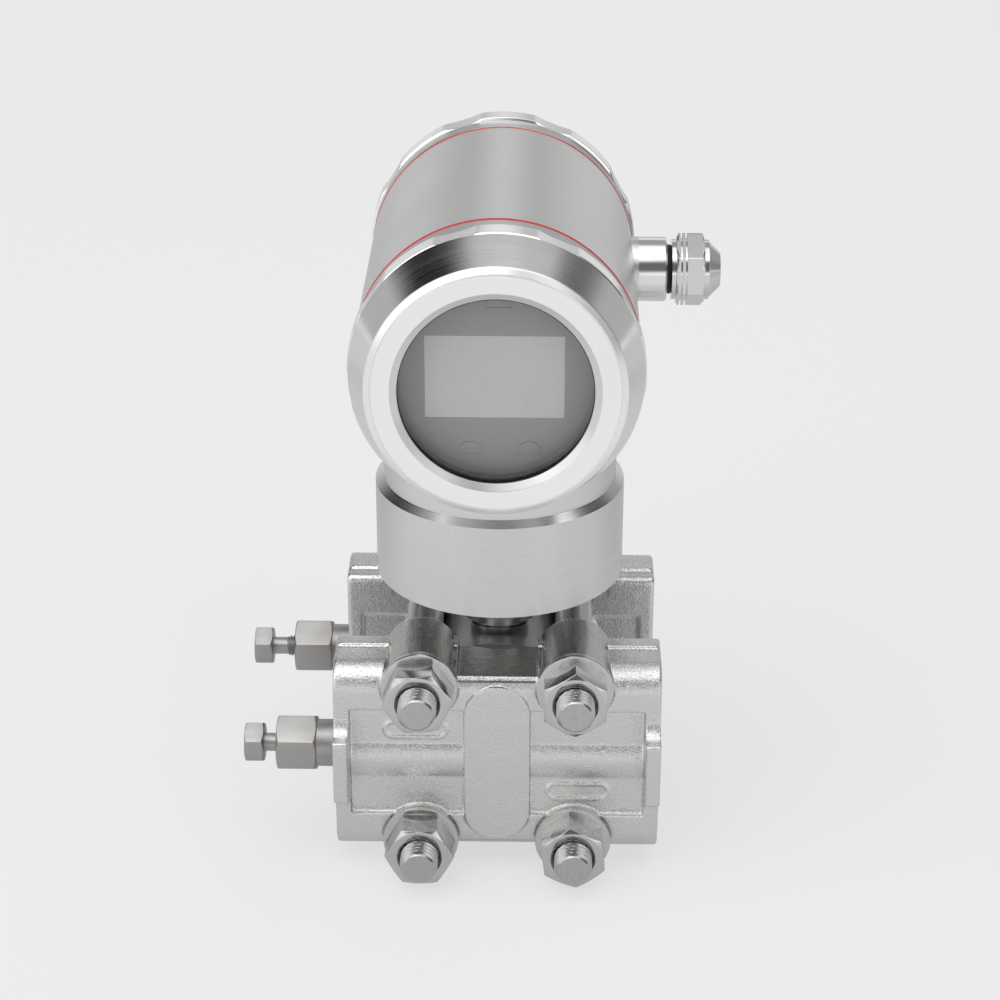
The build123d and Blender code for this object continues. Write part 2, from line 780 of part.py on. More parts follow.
def glass_retaining_ring():
    """The threaded ring behind the glass, with two notches for a pin spanner."""
    near = window_gasket_thickness + glass_thickness
    ring = window_piece(near, near + retaining_ring_width, retaining_ring_bore, glass_radius)
    back = -(display_face_y - window_lip - near - retaining_ring_width)
    for x in (-1, 1):
        notch = Pos(x * (retaining_ring_bore + glass_radius) / 2, back, housing_axis_z)
        notch = notch * Box(retaining_ring_notch, retaining_ring_notch, retaining_ring_notch)
        ring = ring - notch
    return ring


# Display and electronics
def display_bezel():
    """The round face carrier: a shallow cup with a window pocket for the panel."""
    front = -display_face_back
    back = front + display_front_to_board
    cup = rod_y(display_radius, front, back)
    cup = cup - rod_y(display_radius - display_wall, front + display_front_thickness, back + 1)
    pocket_depth = lcd_thickness + lcd_below_face
    pocket = Pos(lcd_centre_x, front + pocket_depth / 2, lcd_centre_z)
    cup = cup - pocket * Box(lcd_width + 2 * lcd_clearance, pocket_depth, lcd_height + 2 * lcd_clearance)
    for x, z in display_screw_places:
        cup = cup - rod_y(display_screw_shank_radius + thread_gap, front - 1, back, x, z)
    return Pos(0, 0, housing_axis_z) * cup


def lcd_panel():
    y = -display_face_back + lcd_below_face + lcd_thickness / 2
    return Pos(lcd_centre_x, y, housing_axis_z + lcd_centre_z) * Box(lcd_width, lcd_thickness, lcd_height)


def display_screws():
    """Low round screws that hold the face to the board behind it."""
    front = -display_face_back
    back = front + display_front_to_board
    screws = []
    for x, z in display_screw_places:
        head = rod_y(display_screw_radius, front - display_screw_height, front, x, z)
        shank = rod_y(display_screw_shank_radius, front, back, x, z)
        slot = Pos(x, front - display_screw_height, z)
        slot = slot * Box(2 * display_screw_radius, display_screw_height, display_screw_slot)
        screws.append(Pos(0, 0, housing_axis_z) * (head + shank - slot))
    return screws


def board_front_y():
    return -display_face_back + display_front_to_board


def display_board():
    start = board_front_y()
    board = rod_y(display_radius - board_margin, start, start + board_thickness)
    chip = Box(display_chip_size, display_chip_height, display_chip_size)
    chip = Pos(0, start - display_chip_height / 2, display_chip_z) * chip
    return Pos(0, 0, housing_axis_z) * (board + chip)


def electronics_module():
    """The potted can that stands on the partition, with a rim that carries the board."""
    start = board_front_y() + board_thickness
    wall = module_radius - module_rim
    points = [(start, 0), (start, module_radius), (start + 2 * module_rim, module_radius),
              (start + 3 * module_rim, wall), (partition_front_y - module_rim, wall),
              (partition_front_y, wall - module_rim), (partition_front_y, 0)]
    notch = rod_y(module_notch_radius, partition_front_y - module_notch_depth, partition_front_y + 1,
                  0, -module_notch_drop)
    can = turned(points, "Y") - notch
    return Pos(0, 0, housing_axis_z) * can


def terminal_x_places():
    return (-terminal_screw_spacing, 0, terminal_screw_spacing)


def terminal_screw_floor():
    """Where the screw heads sit, sunk in their wells."""
    return partition_back_y + terminal_block_thickness - terminal_screw_head - terminal_screw_sink


def terminal_block():
    """The stepped moulding for the field wires, with a well for each terminal screw."""
    start = partition_back_y
    block = rod_y(terminal_block_radius, start, start + terminal_block_thickness)
    top = start + terminal_block_thickness
    step = Pos(0, top, terminal_step_z - terminal_block_radius / 2)
    block = block - step * Box(3 * terminal_block_radius, 2 * terminal_step, terminal_block_radius)
    for x in terminal_x_places():
        block = block - rod_y(terminal_screw_radius + terminal_well_gap, terminal_screw_floor(), top + 1,
                              x, terminal_screw_z)
        block = block - rod_y(terminal_shank_radius + thread_gap, start + terminal_floor, top,
                              x, terminal_screw_z)
    return Pos(0, 0, housing_axis_z) * block


def terminal_screws():
    """Brass cheese-head screws, one in each well, with a driver slot."""
    floor = terminal_screw_floor()
    top = floor + terminal_screw_head
    screws = []
    for x in terminal_x_places():
        head = rod_y(terminal_screw_radius, floor, top, x, terminal_screw_z)
        shank = rod_y(terminal_shank_radius, partition_back_y + terminal_floor, floor, x, terminal_screw_z)
        slot = Box(2 * terminal_screw_radius + 1, 2 * terminal_slot_depth, terminal_slot_width)
        slot = Pos(x, top, terminal_screw_z) * slot
        screws.append(Pos(0, 0, housing_axis_z) * (head + shank - slot))
    return screws


# Cable gland on the +X side of the housing
def gland_place():
    return Pos(0, cable_axis_y, cable_axis_z)


def gland_body():
    """Threaded shank, flange and the sleeve that the dome nut screws over."""
    shank_start = cable_boss_reach - gland_shank_length
    flange_end = gland_face_x + gland_flange_width
    sleeve_end = flange_end + gland_sleeve_length
    shank = cable_thread_radius - thread_gap
    points = [(shank_start, gland_bore_radius), (shank_start, shank - 0.5), (shank_start + 0.5, shank),
              (gland_face_x, shank), (gland_face_x, gland_flange_radius),
              (flange_end, gland_flange_radius), (flange_end, gland_sleeve_radius),
              (sleeve_end, gland_sleeve_radius), (sleeve_end, gland_bore_radius)]
    return gland_place() * turned(points, "X")


def gland_o_ring():
    points = [(cable_boss_reach, cable_thread_radius), (gland_face_x, cable_thread_radius),
              (gland_face_x, gland_seal_ring_radius - 0.3),
              ((cable_boss_reach + gland_face_x) / 2, gland_seal_ring_radius),
              (cable_boss_reach, gland_seal_ring_radius - 0.3)]
    return gland_place() * turned(points, "X")


def gland_nut():
    """Hexagon dome nut: a bored hexagon, a round ring and a conical dome with the cable hole."""
    hex_end = gland_nut_x + gland_nut_hex_length
    ring_end = hex_end + gland_nut_ring_width
    dome_end = ring_end + gland_dome_length
    blank = turned(crowned(gland_nut_hex, gland_nut_x, hex_end, "both"), "X")
    nut = hex_bar_x(gland_nut_hex, gland_nut_x, hex_end, 90 + gland_nut_turn) & blank
    corner = corner_radius(gland_nut_hex)
    for place in gland_groove_places:
        groove = ring_points(gland_nut_x + place, gland_nut_x + place + gland_groove_width,
                             corner - gland_groove_depth, corner + 1)
        nut = nut - turned(groove, "X")
    dome = [(hex_end, 0), (hex_end, gland_nut_ring_radius), (ring_end, gland_nut_ring_radius),
            (ring_end, gland_dome_radius), (dome_end - 0.4, gland_dome_end_radius + 0.2),
            (dome_end, gland_dome_end_radius - 0.2), (dome_end, 0)]
    bore = gland_sleeve_radius + thread_gap
    bore_end = gland_nut_x + gland_sleeve_length + 1.2
    inside = [(gland_nut_x - 1, 0), (gland_nut_x - 1, bore), (bore_end, bore), (ring_end, gland_bore_radius),
              (ring_end, cable_radius), (dome_end + 1, cable_radius), (dome_end + 1, 0)]
    return gland_place() * (nut + turned(dome, "X") - turned(inside, "X"))


def gland_seal():
    """Rubber bush that the nut squeezes round the cable."""
    start = gland_face_x + gland_flange_width + 2.6
    bush = gland_bore_radius - thread_gap
    inner = cable_radius + 0.02
    end = start + gland_seal_length
    points = [(start, inner), (start, bush - 0.4), (start + 0.4, bush), (end, bush), (end, inner)]
    return gland_place() * turned(points, "X")


# Vent valves on the flanges' -X ends
def vent_body(side):
    """Shank in the vent port, round collar with the vent hole, and the hexagon."""
    shank_end = -flange_half_width + vent_shank_length
    collar_end = vent_hex_x
    shank = port_tap_radius - thread_gap
    points = [(shank_end, 0), (shank_end, shank - 0.5), (shank_end - 0.5, shank), (-flange_half_width, shank),
              (-flange_half_width, vent_collar_radius), (collar_end, vent_collar_radius), (collar_end, 0)]
    body = turned(points, "X")
    turn = rear_vent_hex_turn if side > 0 else front_vent_hex_turn
    blank = turned(crowned(vent_hex, collar_end, vent_end_x, "both"), "X")
    body = body + (hex_bar_x(vent_hex, vent_end_x, collar_end, 30 + turn) & blank)
    body = body - rod_x(vent_body_bore_radius, vent_end_x - 1, collar_end + 3)
    body = body - rod_x(vent_seat_bore_radius, collar_end, shank_end + 1)
    body = body - rod_y(vent_hole_radius, 0, vent_collar_radius + 1, collar_end + 1.7)
    return Pos(0, side * flange_mid_y, 0) * body


def vent_seat_x():
    """Where the ball rests against the edge of the seat bore when the valve is shut."""
    floor = vent_hex_x + 3
    return floor - sqrt(vent_ball_radius ** 2 - vent_seat_bore_radius ** 2)


def vent_ball(side, opened):
    centre = vent_seat_x() - opened - 0.02
    return Pos(centre, side * flange_mid_y, 0) * Sphere(vent_ball_radius)


def vent_screw(side, opened):
    """The valve screw: a cup for the ball, the threaded stem and the hexagon head."""
    tip = vent_seat_x() - vent_ball_cup_depth
    head_start = vent_end_x - vent_screw_neck
    head_end = head_start - vent_screw_head_length
    lead = 0.5
    points = [(tip, 0), (tip, vent_screw_radius - lead), (tip - lead, vent_screw_radius),
              (head_start, vent_screw_radius), (head_start, 0)]
    screw = turned(points, "X")
    blank = turned(crowned(vent_screw_hex, head_start, head_end, "both"), "X")
    screw = screw + (hex_bar_x(vent_screw_hex, head_end, head_start, 30) & blank)
    cup = Pos(vent_seat_x() - 0.02, 0, 0) * Sphere(vent_ball_radius + 0.03)
    return Pos(-opened, side * flange_mid_y, 0) * (screw - cup)


def build_parts():
    """Every piece by node name. A list holds separate like pieces that share one node."""
    parts = {
        "front_flange": process_flange(-1),
        "rear_flange": process_flange(1),
        "capsule_body": capsule_body(),
        "front_diaphragm": placed_diaphragm(-1),
        "rear_diaphragm": placed_diaphragm(1),
        "front_flange_gasket": flange_gasket(-1),
        "rear_flange_gasket": flange_gasket(1),
        "sensor_neck": sensor_neck(),
        "hub_o_ring": hub_o_ring(),
        "sensor_board": sensor_board(),
        "flange_bolts": flange_bolts(),
        "flange_nuts": flange_nuts(),
        "nut_washers": nut_washers(),
        "head_washers": head_washers(),
        "front_vent_body": vent_body(-1),
        "rear_vent_body": vent_body(1),
        "front_vent_ball": vent_ball(-1, 0.0),
        "rear_vent_ball": vent_ball(1, rear_vent_open),
        "front_vent_screw": vent_screw(-1, 0.0),
        "rear_vent_screw": vent_screw(1, rear_vent_open),
        "collar_ring": collar_ring(),
        "collar_grub_screw": collar_grub_screw(),
        "housing_body": housing_body(),
        "front_o_ring": cap_o_ring(-1),
        "rear_o_ring": cap_o_ring(1),
        "display_cap": display_cap(),
        "rear_cap": rear_cap(),
        "window_gasket": window_gasket(),
        "window_glass": window_glass(),
        "glass_retaining_ring": glass_retaining_ring(),
        "display_bezel": display_bezel(),
        "lcd_panel": lcd_panel(),
        "display_screws": display_screws(),
        "display_board": display_board(),
        "electronics_module": electronics_module(),
        "terminal_block": terminal_block(),
        "terminal_screws": terminal_screws(),
        "gland_body": gland_body(),
        "gland_o_ring": gland_o_ring(),
        "gland_nut": gland_nut(),
        "gland_seal": gland_seal(),
    }
    return parts


def main():
    os.makedirs("parts", exist_ok=True)
    to_origin = Pos(-flange_half_width, 0, 0)
    for name, shape in build_parts().items():
        solids = shape if isinstance(shape, list) else [shape]
        placed = [to_origin * solid for solid in solids]
        piece = placed[0] if len(placed) == 1 else Compound(children=placed)
        export_step(piece, f"parts/{name}.step")


main()
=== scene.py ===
# %% [markdown]
# A differential pressure transmitter in stainless steel, finished for the camera.
# The solid model is loaded as a fixed frame. It gives every piece its real size and place, so
# this lesson only adds what the eye wants: threads, eased edges, casting skin, brushed and
# turned metal, and the soft white studio that makes steel look like steel.

# %% Open the frame
import math
import bmesh
import bpy
from mathutils import Matrix, Vector


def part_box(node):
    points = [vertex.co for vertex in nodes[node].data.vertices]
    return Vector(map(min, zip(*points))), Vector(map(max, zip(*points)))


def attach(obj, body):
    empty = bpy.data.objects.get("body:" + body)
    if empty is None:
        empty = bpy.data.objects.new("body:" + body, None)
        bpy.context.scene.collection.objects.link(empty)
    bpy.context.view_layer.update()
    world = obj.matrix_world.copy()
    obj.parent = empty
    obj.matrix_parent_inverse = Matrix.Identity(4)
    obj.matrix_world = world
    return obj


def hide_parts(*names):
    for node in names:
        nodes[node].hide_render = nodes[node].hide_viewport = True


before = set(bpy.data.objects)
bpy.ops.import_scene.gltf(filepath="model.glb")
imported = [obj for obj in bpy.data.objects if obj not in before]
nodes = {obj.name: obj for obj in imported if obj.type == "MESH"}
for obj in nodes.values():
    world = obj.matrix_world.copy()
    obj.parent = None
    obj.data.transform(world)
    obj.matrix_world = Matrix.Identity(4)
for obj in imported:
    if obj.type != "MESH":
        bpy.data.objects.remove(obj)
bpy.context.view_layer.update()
MM = 0.001

# %% [markdown]
# The frame's origin lies on the ends of the flanges. The transmitter itself is round about its
# neck, so the scene keeps that axis, the housing's height and the flange spacing as named values.

# %% Main places of the object, in metres
NECK_X = -42.7 * MM
HOUSING_Z = 115.25 * MM
FLANGE_Y = 27.0 * MM
BOLT_X = 20.2 * MM
BOLT_Z = 23.0 * MM
GLAND_Y = 26.0 * MM
GLAND_Z = 115.2 * MM
HOUSING_CENTRE = Vector((NECK_X, 0, HOUSING_Z))
FLOOR_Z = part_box("nut_washers")[0].z
print("floor at", round(FLOOR_Z / MM, 2), "mm")

# %% [markdown]
# The camera comes first, because every finish is judged through it. A lens fitted to the
# photograph sees the object from 656 mm away, 25 degrees from above, a touch from the right.

# %% Camera
CAMERA_AIM = Vector((-42.65 * MM, 0, 59.15 * MM))
CAMERA_DISTANCE = 655.8 * MM
CAMERA_PITCH = math.radians(25.01)
CAMERA_YAW = math.radians(-0.94)
CAMERA_ROLL = math.radians(0.13)
CAMERA_LENS = 88.75
SENSOR_WIDTH = 36.0


def in_scene(name, data):
    """A new object with some data, linked to the scene."""
    thing = bpy.data.objects.new(name, data)
    bpy.context.scene.collection.objects.link(thing)
    return thing


def make_camera():
    data = bpy.data.cameras.new("camera")
    data.lens = CAMERA_LENS
    data.sensor_width = SENSOR_WIDTH
    data.clip_start = 0.01
    data.clip_end = 20.0
    camera = in_scene("camera", data)
    forward = Vector((math.sin(CAMERA_YAW) * math.cos(CAMERA_PITCH),
                      math.cos(CAMERA_YAW) * math.cos(CAMERA_PITCH), -math.sin(CAMERA_PITCH)))
    place = CAMERA_AIM - forward * CAMERA_DISTANCE
    turn = forward.to_track_quat("-Z", "Y").to_matrix().to_4x4()
    camera.matrix_world = Matrix.Translation(place) @ turn @ Matrix.Rotation(CAMERA_ROLL, 4, "Z")
    bpy.context.scene.camera = camera


make_camera()
bpy.context.scene.view_settings.view_transform = "Standard"

# %% [markdown]
# A finish is a small tree of shader nodes. Building trees by hand takes many lines, so a short
# helper adds a node, sets its sockets and returns it. Every finish below is a few calls to it.

# %% A helper for shader trees


class NodeMaker:
    """Adds nodes to a tree. A socket takes a value or another node's output."""

    def __init__(self, tree):
        self.tree = tree
        self.tree.nodes.clear()

    def add(self, kind, sockets=None, **settings):
        node = self.tree.nodes.new(kind)
        for key, value in settings.items():
            setattr(node, key, value)
        for key, value in (sockets or {}).items():
            if isinstance(value, bpy.types.NodeSocket):
                self.tree.links.new(value, node.inputs[key])
            else:
                node.inputs[key].default_value = value
        return node

    def math(self, operation, a, b=0.0):
        return self.add("ShaderNodeMath", {0: a, 1: b}, operation=operation).outputs[0]

    def vector(self, operation, a, b=(0, 0, 0)):
        node = self.add("ShaderNodeVectorMath", {0: a, 1: b}, operation=operation)
        return node.outputs["Value"] if operation in ("LENGTH", "DOT_PRODUCT") else node.outputs["Vector"]

    def ramp(self, value, low, high, to_low=0.0, to_high=1.0, smooth=False):
        sockets = {"Value": value, "From Min": low, "From Max": high, "To Min": to_low, "To Max": to_high}
        kind = "SMOOTHSTEP" if smooth else "LINEAR"
        return self.add("ShaderNodeMapRange", sockets, interpolation_type=kind).outputs["Result"]

    def spread(self, noise, low=0.0, high=1.0):
        """Noise lies mostly between 0.3 and 0.7. This spreads it from low to high."""
        return self.ramp(noise, 0.3, 0.7, low, high)

    def blend(self, factor, a, b):
        """Two numbers mixed: a where the factor is 0, and b where it is 1."""
        return self.add("ShaderNodeMix", {"Factor": factor, "A": a, "B": b}).outputs["Result"]


class Finish(NodeMaker):
    """A material under construction, on the piece's own coordinates."""

    def __init__(self, name):
        self.material = bpy.data.materials.new(name)
        self.material.use_nodes = True
        super().__init__(self.material.node_tree)
        self.place = self.add("ShaderNodeTexCoord").outputs["Object"]

    def noise(self, scale, detail=2.0, roughness=0.5, place=None):
        sockets = {"Vector": self.place if place is None else place, "Scale": scale, "Detail": detail,
                   "Roughness": roughness}
        return self.add("ShaderNodeTexNoise", sockets).outputs["Fac"]

    def stretch(self, factors):
        """Object coordinates, stretched along the axes."""
        return self.vector("MULTIPLY", self.place, factors)

    def mix(self, factor, a, b):
        """Two colours mixed, as blend mixes two numbers."""
        sockets = {"Factor": factor, "A": a, "B": b}
        return self.add("ShaderNodeMix", sockets, data_type="RGBA").outputs["Result"]

    def bump(self, height, distance, strength=1.0):
        sockets = {"Height": height, "Distance": distance, "Strength": strength}
        return self.add("ShaderNodeBump", sockets).outputs["Normal"]

    def done(self, sockets):
        shader = self.add("ShaderNodeBsdfPrincipled", sockets)
        output = self.add("ShaderNodeOutputMaterial")
        self.tree.links.new(shader.outputs[0], output.inputs[0])
        return self.material


def grey(level, warmth=0.0):
    """A near-neutral steel colour: warmth lifts red and lowers blue."""
    return (level * (1 + warmth), level, level * (1 - warmth), 1.0)


def shaded(colour, share):
    """A colour times a share: darker below one, lighter above it."""
    return tuple(share * value for value in colour[:3]) + (1.0,)


# %% [markdown]
# Turned steel is cut on a lathe. The tool leaves fine rings round the axis, and those rings
# stretch a highlight across them. The rings come from noise that only changes with the radius
# and with the place along the axis, and the shader's anisotropy does the stretching.

# %% Turned steel
AXIS_NUMBER = {"X": 0, "Y": 1, "Z": 2}
RING_WIDTH = 0.25 * MM
RING_DEPTH = 0.002 * MM
RING_STRETCH = 0.75


def groove_places(finish, axis, centre):
    """Along the axis, away from it, and the direction across the grooves on the surface."""
    local = finish.vector("SUBTRACT", finish.place, tuple(centre))
    along = finish.add("ShaderNodeSeparateXYZ", {0: local}).outputs[AXIS_NUMBER[axis]]
    direction = [0.0, 0.0, 0.0]
    direction[AXIS_NUMBER[axis]] = 1.0
    flat = finish.vector("MULTIPLY", local, tuple(1.0 - value for value in direction))
    radius = finish.vector("LENGTH", flat)
    round_it = finish.vector("CROSS_PRODUCT", flat, tuple(direction))
    round_it = finish.add("ShaderNodeVectorTransform", {0: round_it}, vector_type="VECTOR",
                          convert_from="OBJECT", convert_to="WORLD").outputs[0]
    normal = finish.add("ShaderNodeNewGeometry").outputs["Normal"]
    across = finish.vector("NORMALIZE", finish.vector("CROSS_PRODUCT", normal, round_it))
    return along, radius, across


def turned_skin(finish, along, radius, colour, roughness):
    """The tint, the roughness and the height of a lathe's rings."""
    rings = finish.add("ShaderNodeCombineXYZ", {0: along, 1: radius, 2: 0.0}).outputs[0]
    fine = finish.noise(1 / RING_WIDTH, 3.0, 0.6, rings)
    broad = finish.noise(0.1 / RING_WIDTH, 2.0, 0.5, rings)
    cloud = finish.noise(60.0, 3.0)
    rough = finish.math("ADD", finish.spread(fine, -0.04, 0.04), finish.spread(cloud, -0.02, 0.03))
    rough = finish.math("ADD", rough, finish.spread(broad, roughness - 0.02, roughness + 0.02))
    tint = finish.mix(finish.spread(cloud), shaded(colour, 0.97), colour)
    return tint, rough, fine


def turned_done(finish, across, tint, rough, height):
    """The turned material, with its highlight stretched across the rings."""
    return finish.done({"Base Color": tint, "Metallic": 1.0, "Roughness": rough, "Anisotropic": RING_STRETCH,
                        "Tangent": across, "Normal": finish.bump(height, RING_DEPTH)})


def turned_steel(name, axis, centre, colour, roughness):
    finish = Finish(name)
    along, radius, across = groove_places(finish, axis, centre)
    tint, rough, height = turned_skin(finish, along, radius, colour, roughness)
    return turned_done(finish, across, tint, rough, height)


# %% [markdown]
# The caps are turned bright, but not all over alike. The skirt beside the tube and the lip round
# the window are duller and darker, and the bevel at the front edge is only less polished. Masks
# made from the place along the axis and away from it pick these faces. The blank cap shares the
# finish, so that the middle of its plate is dull too.

# %% Cap steel
SKIRT_REACH = 44.0 * MM
SKIRT_SHARE = 0.66
LIP_RADIUS = 25.04 * MM
LIP_SHARE = 0.80
DULL_ROUGHNESS = 0.34
BEVEL_INNER = 29.42 * MM
BEVEL_OUTER = 31.3 * MM
BEVEL_ROUGHNESS = 0.33


def cap_steel(name, colour, roughness):
    finish = Finish(name)
    along, radius, across = groove_places(finish, "Y", HOUSING_CENTRE)
    tint, rough, height = turned_skin(finish, along, radius, colour, roughness)
    on_bevel = finish.math("MULTIPLY", finish.math("GREATER_THAN", radius, BEVEL_INNER),
                           finish.math("LESS_THAN", radius, BEVEL_OUTER))
    rough = finish.blend(on_bevel, rough, BEVEL_ROUGHNESS)
    on_skirt = finish.math("LESS_THAN", finish.math("ABSOLUTE", along), SKIRT_REACH)
    on_lip = finish.math("LESS_THAN", radius, LIP_RADIUS)
    rough = finish.blend(finish.math("MAXIMUM", on_skirt, on_lip), rough, DULL_ROUGHNESS)
    tint = finish.mix(on_skirt, tint, shaded(colour, SKIRT_SHARE))
    tint = finish.mix(on_lip, tint, shaded(colour, LIP_SHARE))
    return turned_done(finish, across, tint, rough, height)


# %% [markdown]
# The housing tube is bead blasted after turning: an even satin with no direction, a little
# grain in the highlight and faint clouds where the blast was uneven. The cable boss at its side
# was masked off, and keeps the bright turned face.

# %% Blasted steel
BLAST_GRAIN = 0.18 * MM
BLAST_DEPTH = 0.012 * MM
TURNED_BOSS_X = -6.6 * MM
BOSS_FADE = 0.3 * MM
BOSS_COLOUR = grey(0.78, 0.004)
BOSS_ROUGHNESS = 0.11


def blasted_steel(name, colour, roughness):
    finish = Finish(name)
    fine = finish.noise(1 / BLAST_GRAIN, 2.0, 0.6)
    cloud = finish.noise(35.0, 4.0, 0.6)
    along = finish.add("ShaderNodeSeparateXYZ", {0: finish.place}).outputs[0]
    on_boss = finish.ramp(along, TURNED_BOSS_X - BOSS_FADE, TURNED_BOSS_X + BOSS_FADE)
    rough = finish.blend(on_boss, finish.spread(cloud, roughness - 0.03, roughness + 0.04), BOSS_ROUGHNESS)
    tint = finish.mix(finish.ramp(cloud, 0.25, 0.75), shaded(colour, 0.95), colour)
    tint = finish.mix(on_boss, tint, BOSS_COLOUR)
    return finish.done({"Base Color": tint, "Metallic": 1.0, "Roughness": rough,
                        "Normal": finish.bump(fine, BLAST_DEPTH)})


# %% [markdown]
# The process flanges are investment castings, blasted and pickled. Their skin is a field of
# tiny pits and bumps of two sizes, and its crystals catch the light as sparkle. The places
# that are ground or milled afterwards keep straight fine lines instead.

# %% Cast steel
BOSS_RADIUS = 9.75 * MM
BOSS_SIDE_FADE = (0.22 * MM, 0.45 * MM)
BOSS_TOP_FADE = (-2.0 * MM, 0.5 * MM)
FLAT_Z = 24.1 * MM
FLAT_FADE = (0.15 * MM, 0.35 * MM)
FLAT_END_FADE = (11.6 * MM, 12.2 * MM)
GRAIN_SIZE = 0.50 * MM
PIT_SIZE = 0.9 * MM
SKIN_RELIEF = 0.14 * MM
LINE_RELIEF = 0.02 * MM
CRYSTALS_PER_METRE = 2200.0
BOSS_LINES = (1500.0, 45.0, 1500.0)
FLAT_LINES = (60.0, 1500.0, 1500.0)


def ground_places(finish):
    """Masks for the round bosses ground along Y and the flats milled along X between them."""
    x, y, z = finish.add("ShaderNodeSeparateXYZ", {0: finish.place}).outputs
    from_neck = finish.math("ABSOLUTE", finish.math("SUBTRACT", x, NECK_X))
    height = finish.math("ABSOLUTE", z)
    beside = finish.math("SUBTRACT", from_neck, BOLT_X)
    above = finish.math("SUBTRACT", height, BOLT_Z)
    from_bolt = finish.add("ShaderNodeCombineXYZ", {0: beside, 1: above, 2: 0.0}).outputs[0]
    reach = finish.vector("LENGTH", from_bolt)
    off_boss = finish.math("ABSOLUTE", finish.math("SUBTRACT", reach, BOSS_RADIUS))
    boss = finish.math("MULTIPLY", finish.ramp(off_boss, *BOSS_SIDE_FADE, 1.0, 0.0),
                       finish.ramp(above, *BOSS_TOP_FADE))
    off_flat = finish.math("ABSOLUTE", finish.math("SUBTRACT", height, FLAT_Z))
    flat = finish.math("MULTIPLY", finish.ramp(off_flat, *FLAT_FADE, 1.0, 0.0),
                       finish.ramp(from_neck, *FLAT_END_FADE, 1.0, 0.0))
    return boss, flat


def cast_steel(name):
    finish = Finish(name)
    boss, flat = ground_places(finish)
    ground = finish.math("MAXIMUM", boss, flat)
    grain = finish.noise(1 / GRAIN_SIZE, 2.5, 0.65)
    pits = finish.ramp(finish.noise(1 / PIT_SIZE, 2.0, 0.5), 0.60, 0.75, smooth=True)
    cloud = finish.noise(45.0, 3.0, 0.6)
    crystals = {"Vector": finish.place, "Scale": CRYSTALS_PER_METRE}
    spark = finish.add("ShaderNodeTexVoronoi", crystals).outputs["Color"]
    spark = finish.add("ShaderNodeSeparateColor", {0: spark}).outputs[0]
    skin = finish.math("SUBTRACT", grain, finish.math("MULTIPLY", pits, 0.3))
    along_boss = finish.noise(1.0, 2.0, 0.6, finish.stretch(BOSS_LINES))
    along_flat = finish.noise(1.0, 2.0, 0.6, finish.stretch(FLAT_LINES))
    lines = finish.blend(flat, along_boss, along_flat)
    rough = finish.math("ADD", finish.spread(cloud, 0.25, 0.31), finish.ramp(spark, 0.0, 1.0, -0.05, 0.05))
    rough = finish.blend(ground, rough, finish.spread(lines, 0.20, 0.34))
    tint = finish.mix(cloud, grey(0.71, 0.008), grey(0.68, 0.01))
    tint = finish.mix(ground, tint, grey(0.50, 0.02))
    cast = finish.bump(skin, SKIN_RELIEF)
    scored = finish.bump(lines, LINE_RELIEF, 0.8)
    normal = finish.add("ShaderNodeMix", {"Factor": ground, "A": cast, "B": scored}, data_type="VECTOR")
    return finish.done({"Base Color": tint, "Metallic": 1.0, "Roughness": rough,
                        "Normal": normal.outputs["Result"]})


# %% [markdown]
# Bar stock for vents, bolts and nuts is drawn or ground along one direction. Stretched noise
# gives the fine scratches: per metre it changes seldom along the bar and often across it. The
# colour stays a little warmer than the castings.

# %% Drawn steel
ALONG_X = (60.0, 2600.0, 2600.0)
ALONG_Y = (2600.0, 80.0, 2600.0)
COARSE_ALONG_Y = (700.0, 120.0, 700.0)
ALL_WAYS = (900.0, 900.0, 900.0)
DRAWN_STRETCH = 0.35


def drawn_steel(name, colour, roughness, scratches=ALONG_X, depth=0.006 * MM):
    finish = Finish(name)
    lines = finish.noise(1.0, 3.0, 0.6, finish.stretch(scratches))
    cloud = finish.noise(160.0, 3.0, 0.6)
    rough = finish.math("ADD", finish.spread(lines, -0.04, 0.05),
                        finish.spread(cloud, roughness - 0.03, roughness + 0.04))
    tint = finish.mix(finish.spread(cloud), shaded(colour, 0.94), colour)
    return finish.done({"Base Color": tint, "Metallic": 1.0, "Roughness": rough,
                        "Anisotropic": DRAWN_STRETCH, "Normal": finish.bump(lines, depth)})


# %% [markdown]
# The rest are quiet materials: silicone and black rubber with a faint bloom, the printed film
# round the display, liquid crystal glass, solder mask, potting, brass and the window's glass.

# %% Rubber, plastics and glass
BLOOMS_PER_METRE = 900.0
BLOOM_DEPTH = 0.01 * MM


def plain_finish(name, colour, roughness, metallic=0.0, spread=0.12):
    """The spread is how much the bloom lightens and darkens the colour."""
    finish = Finish(name)
    fine = finish.noise(BLOOMS_PER_METRE, 3.0)
    tint = finish.mix(finish.spread(fine), shaded(colour, 1 - spread), shaded(colour, 1 + spread))
    rough = finish.spread(fine, roughness - 0.05, roughness + 0.05)
    return finish.done({"Base Color": tint, "Roughness": rough, "Metallic": metallic,
                        "Normal": finish.bump(fine, BLOOM_DEPTH)})


def window_finish():
    finish = Finish("window_glass")
    smear = finish.noise(40.0, 2.0)
    rough = finish.spread(smear, 0.0, 0.03)
    return finish.done({"Base Color": (0.985, 0.985, 0.985, 1), "Roughness": rough, "IOR": 1.47,
                        "Transmission Weight": 1.0})


# %% [markdown]
# All the finishes together, by the name of the piece they belong to.

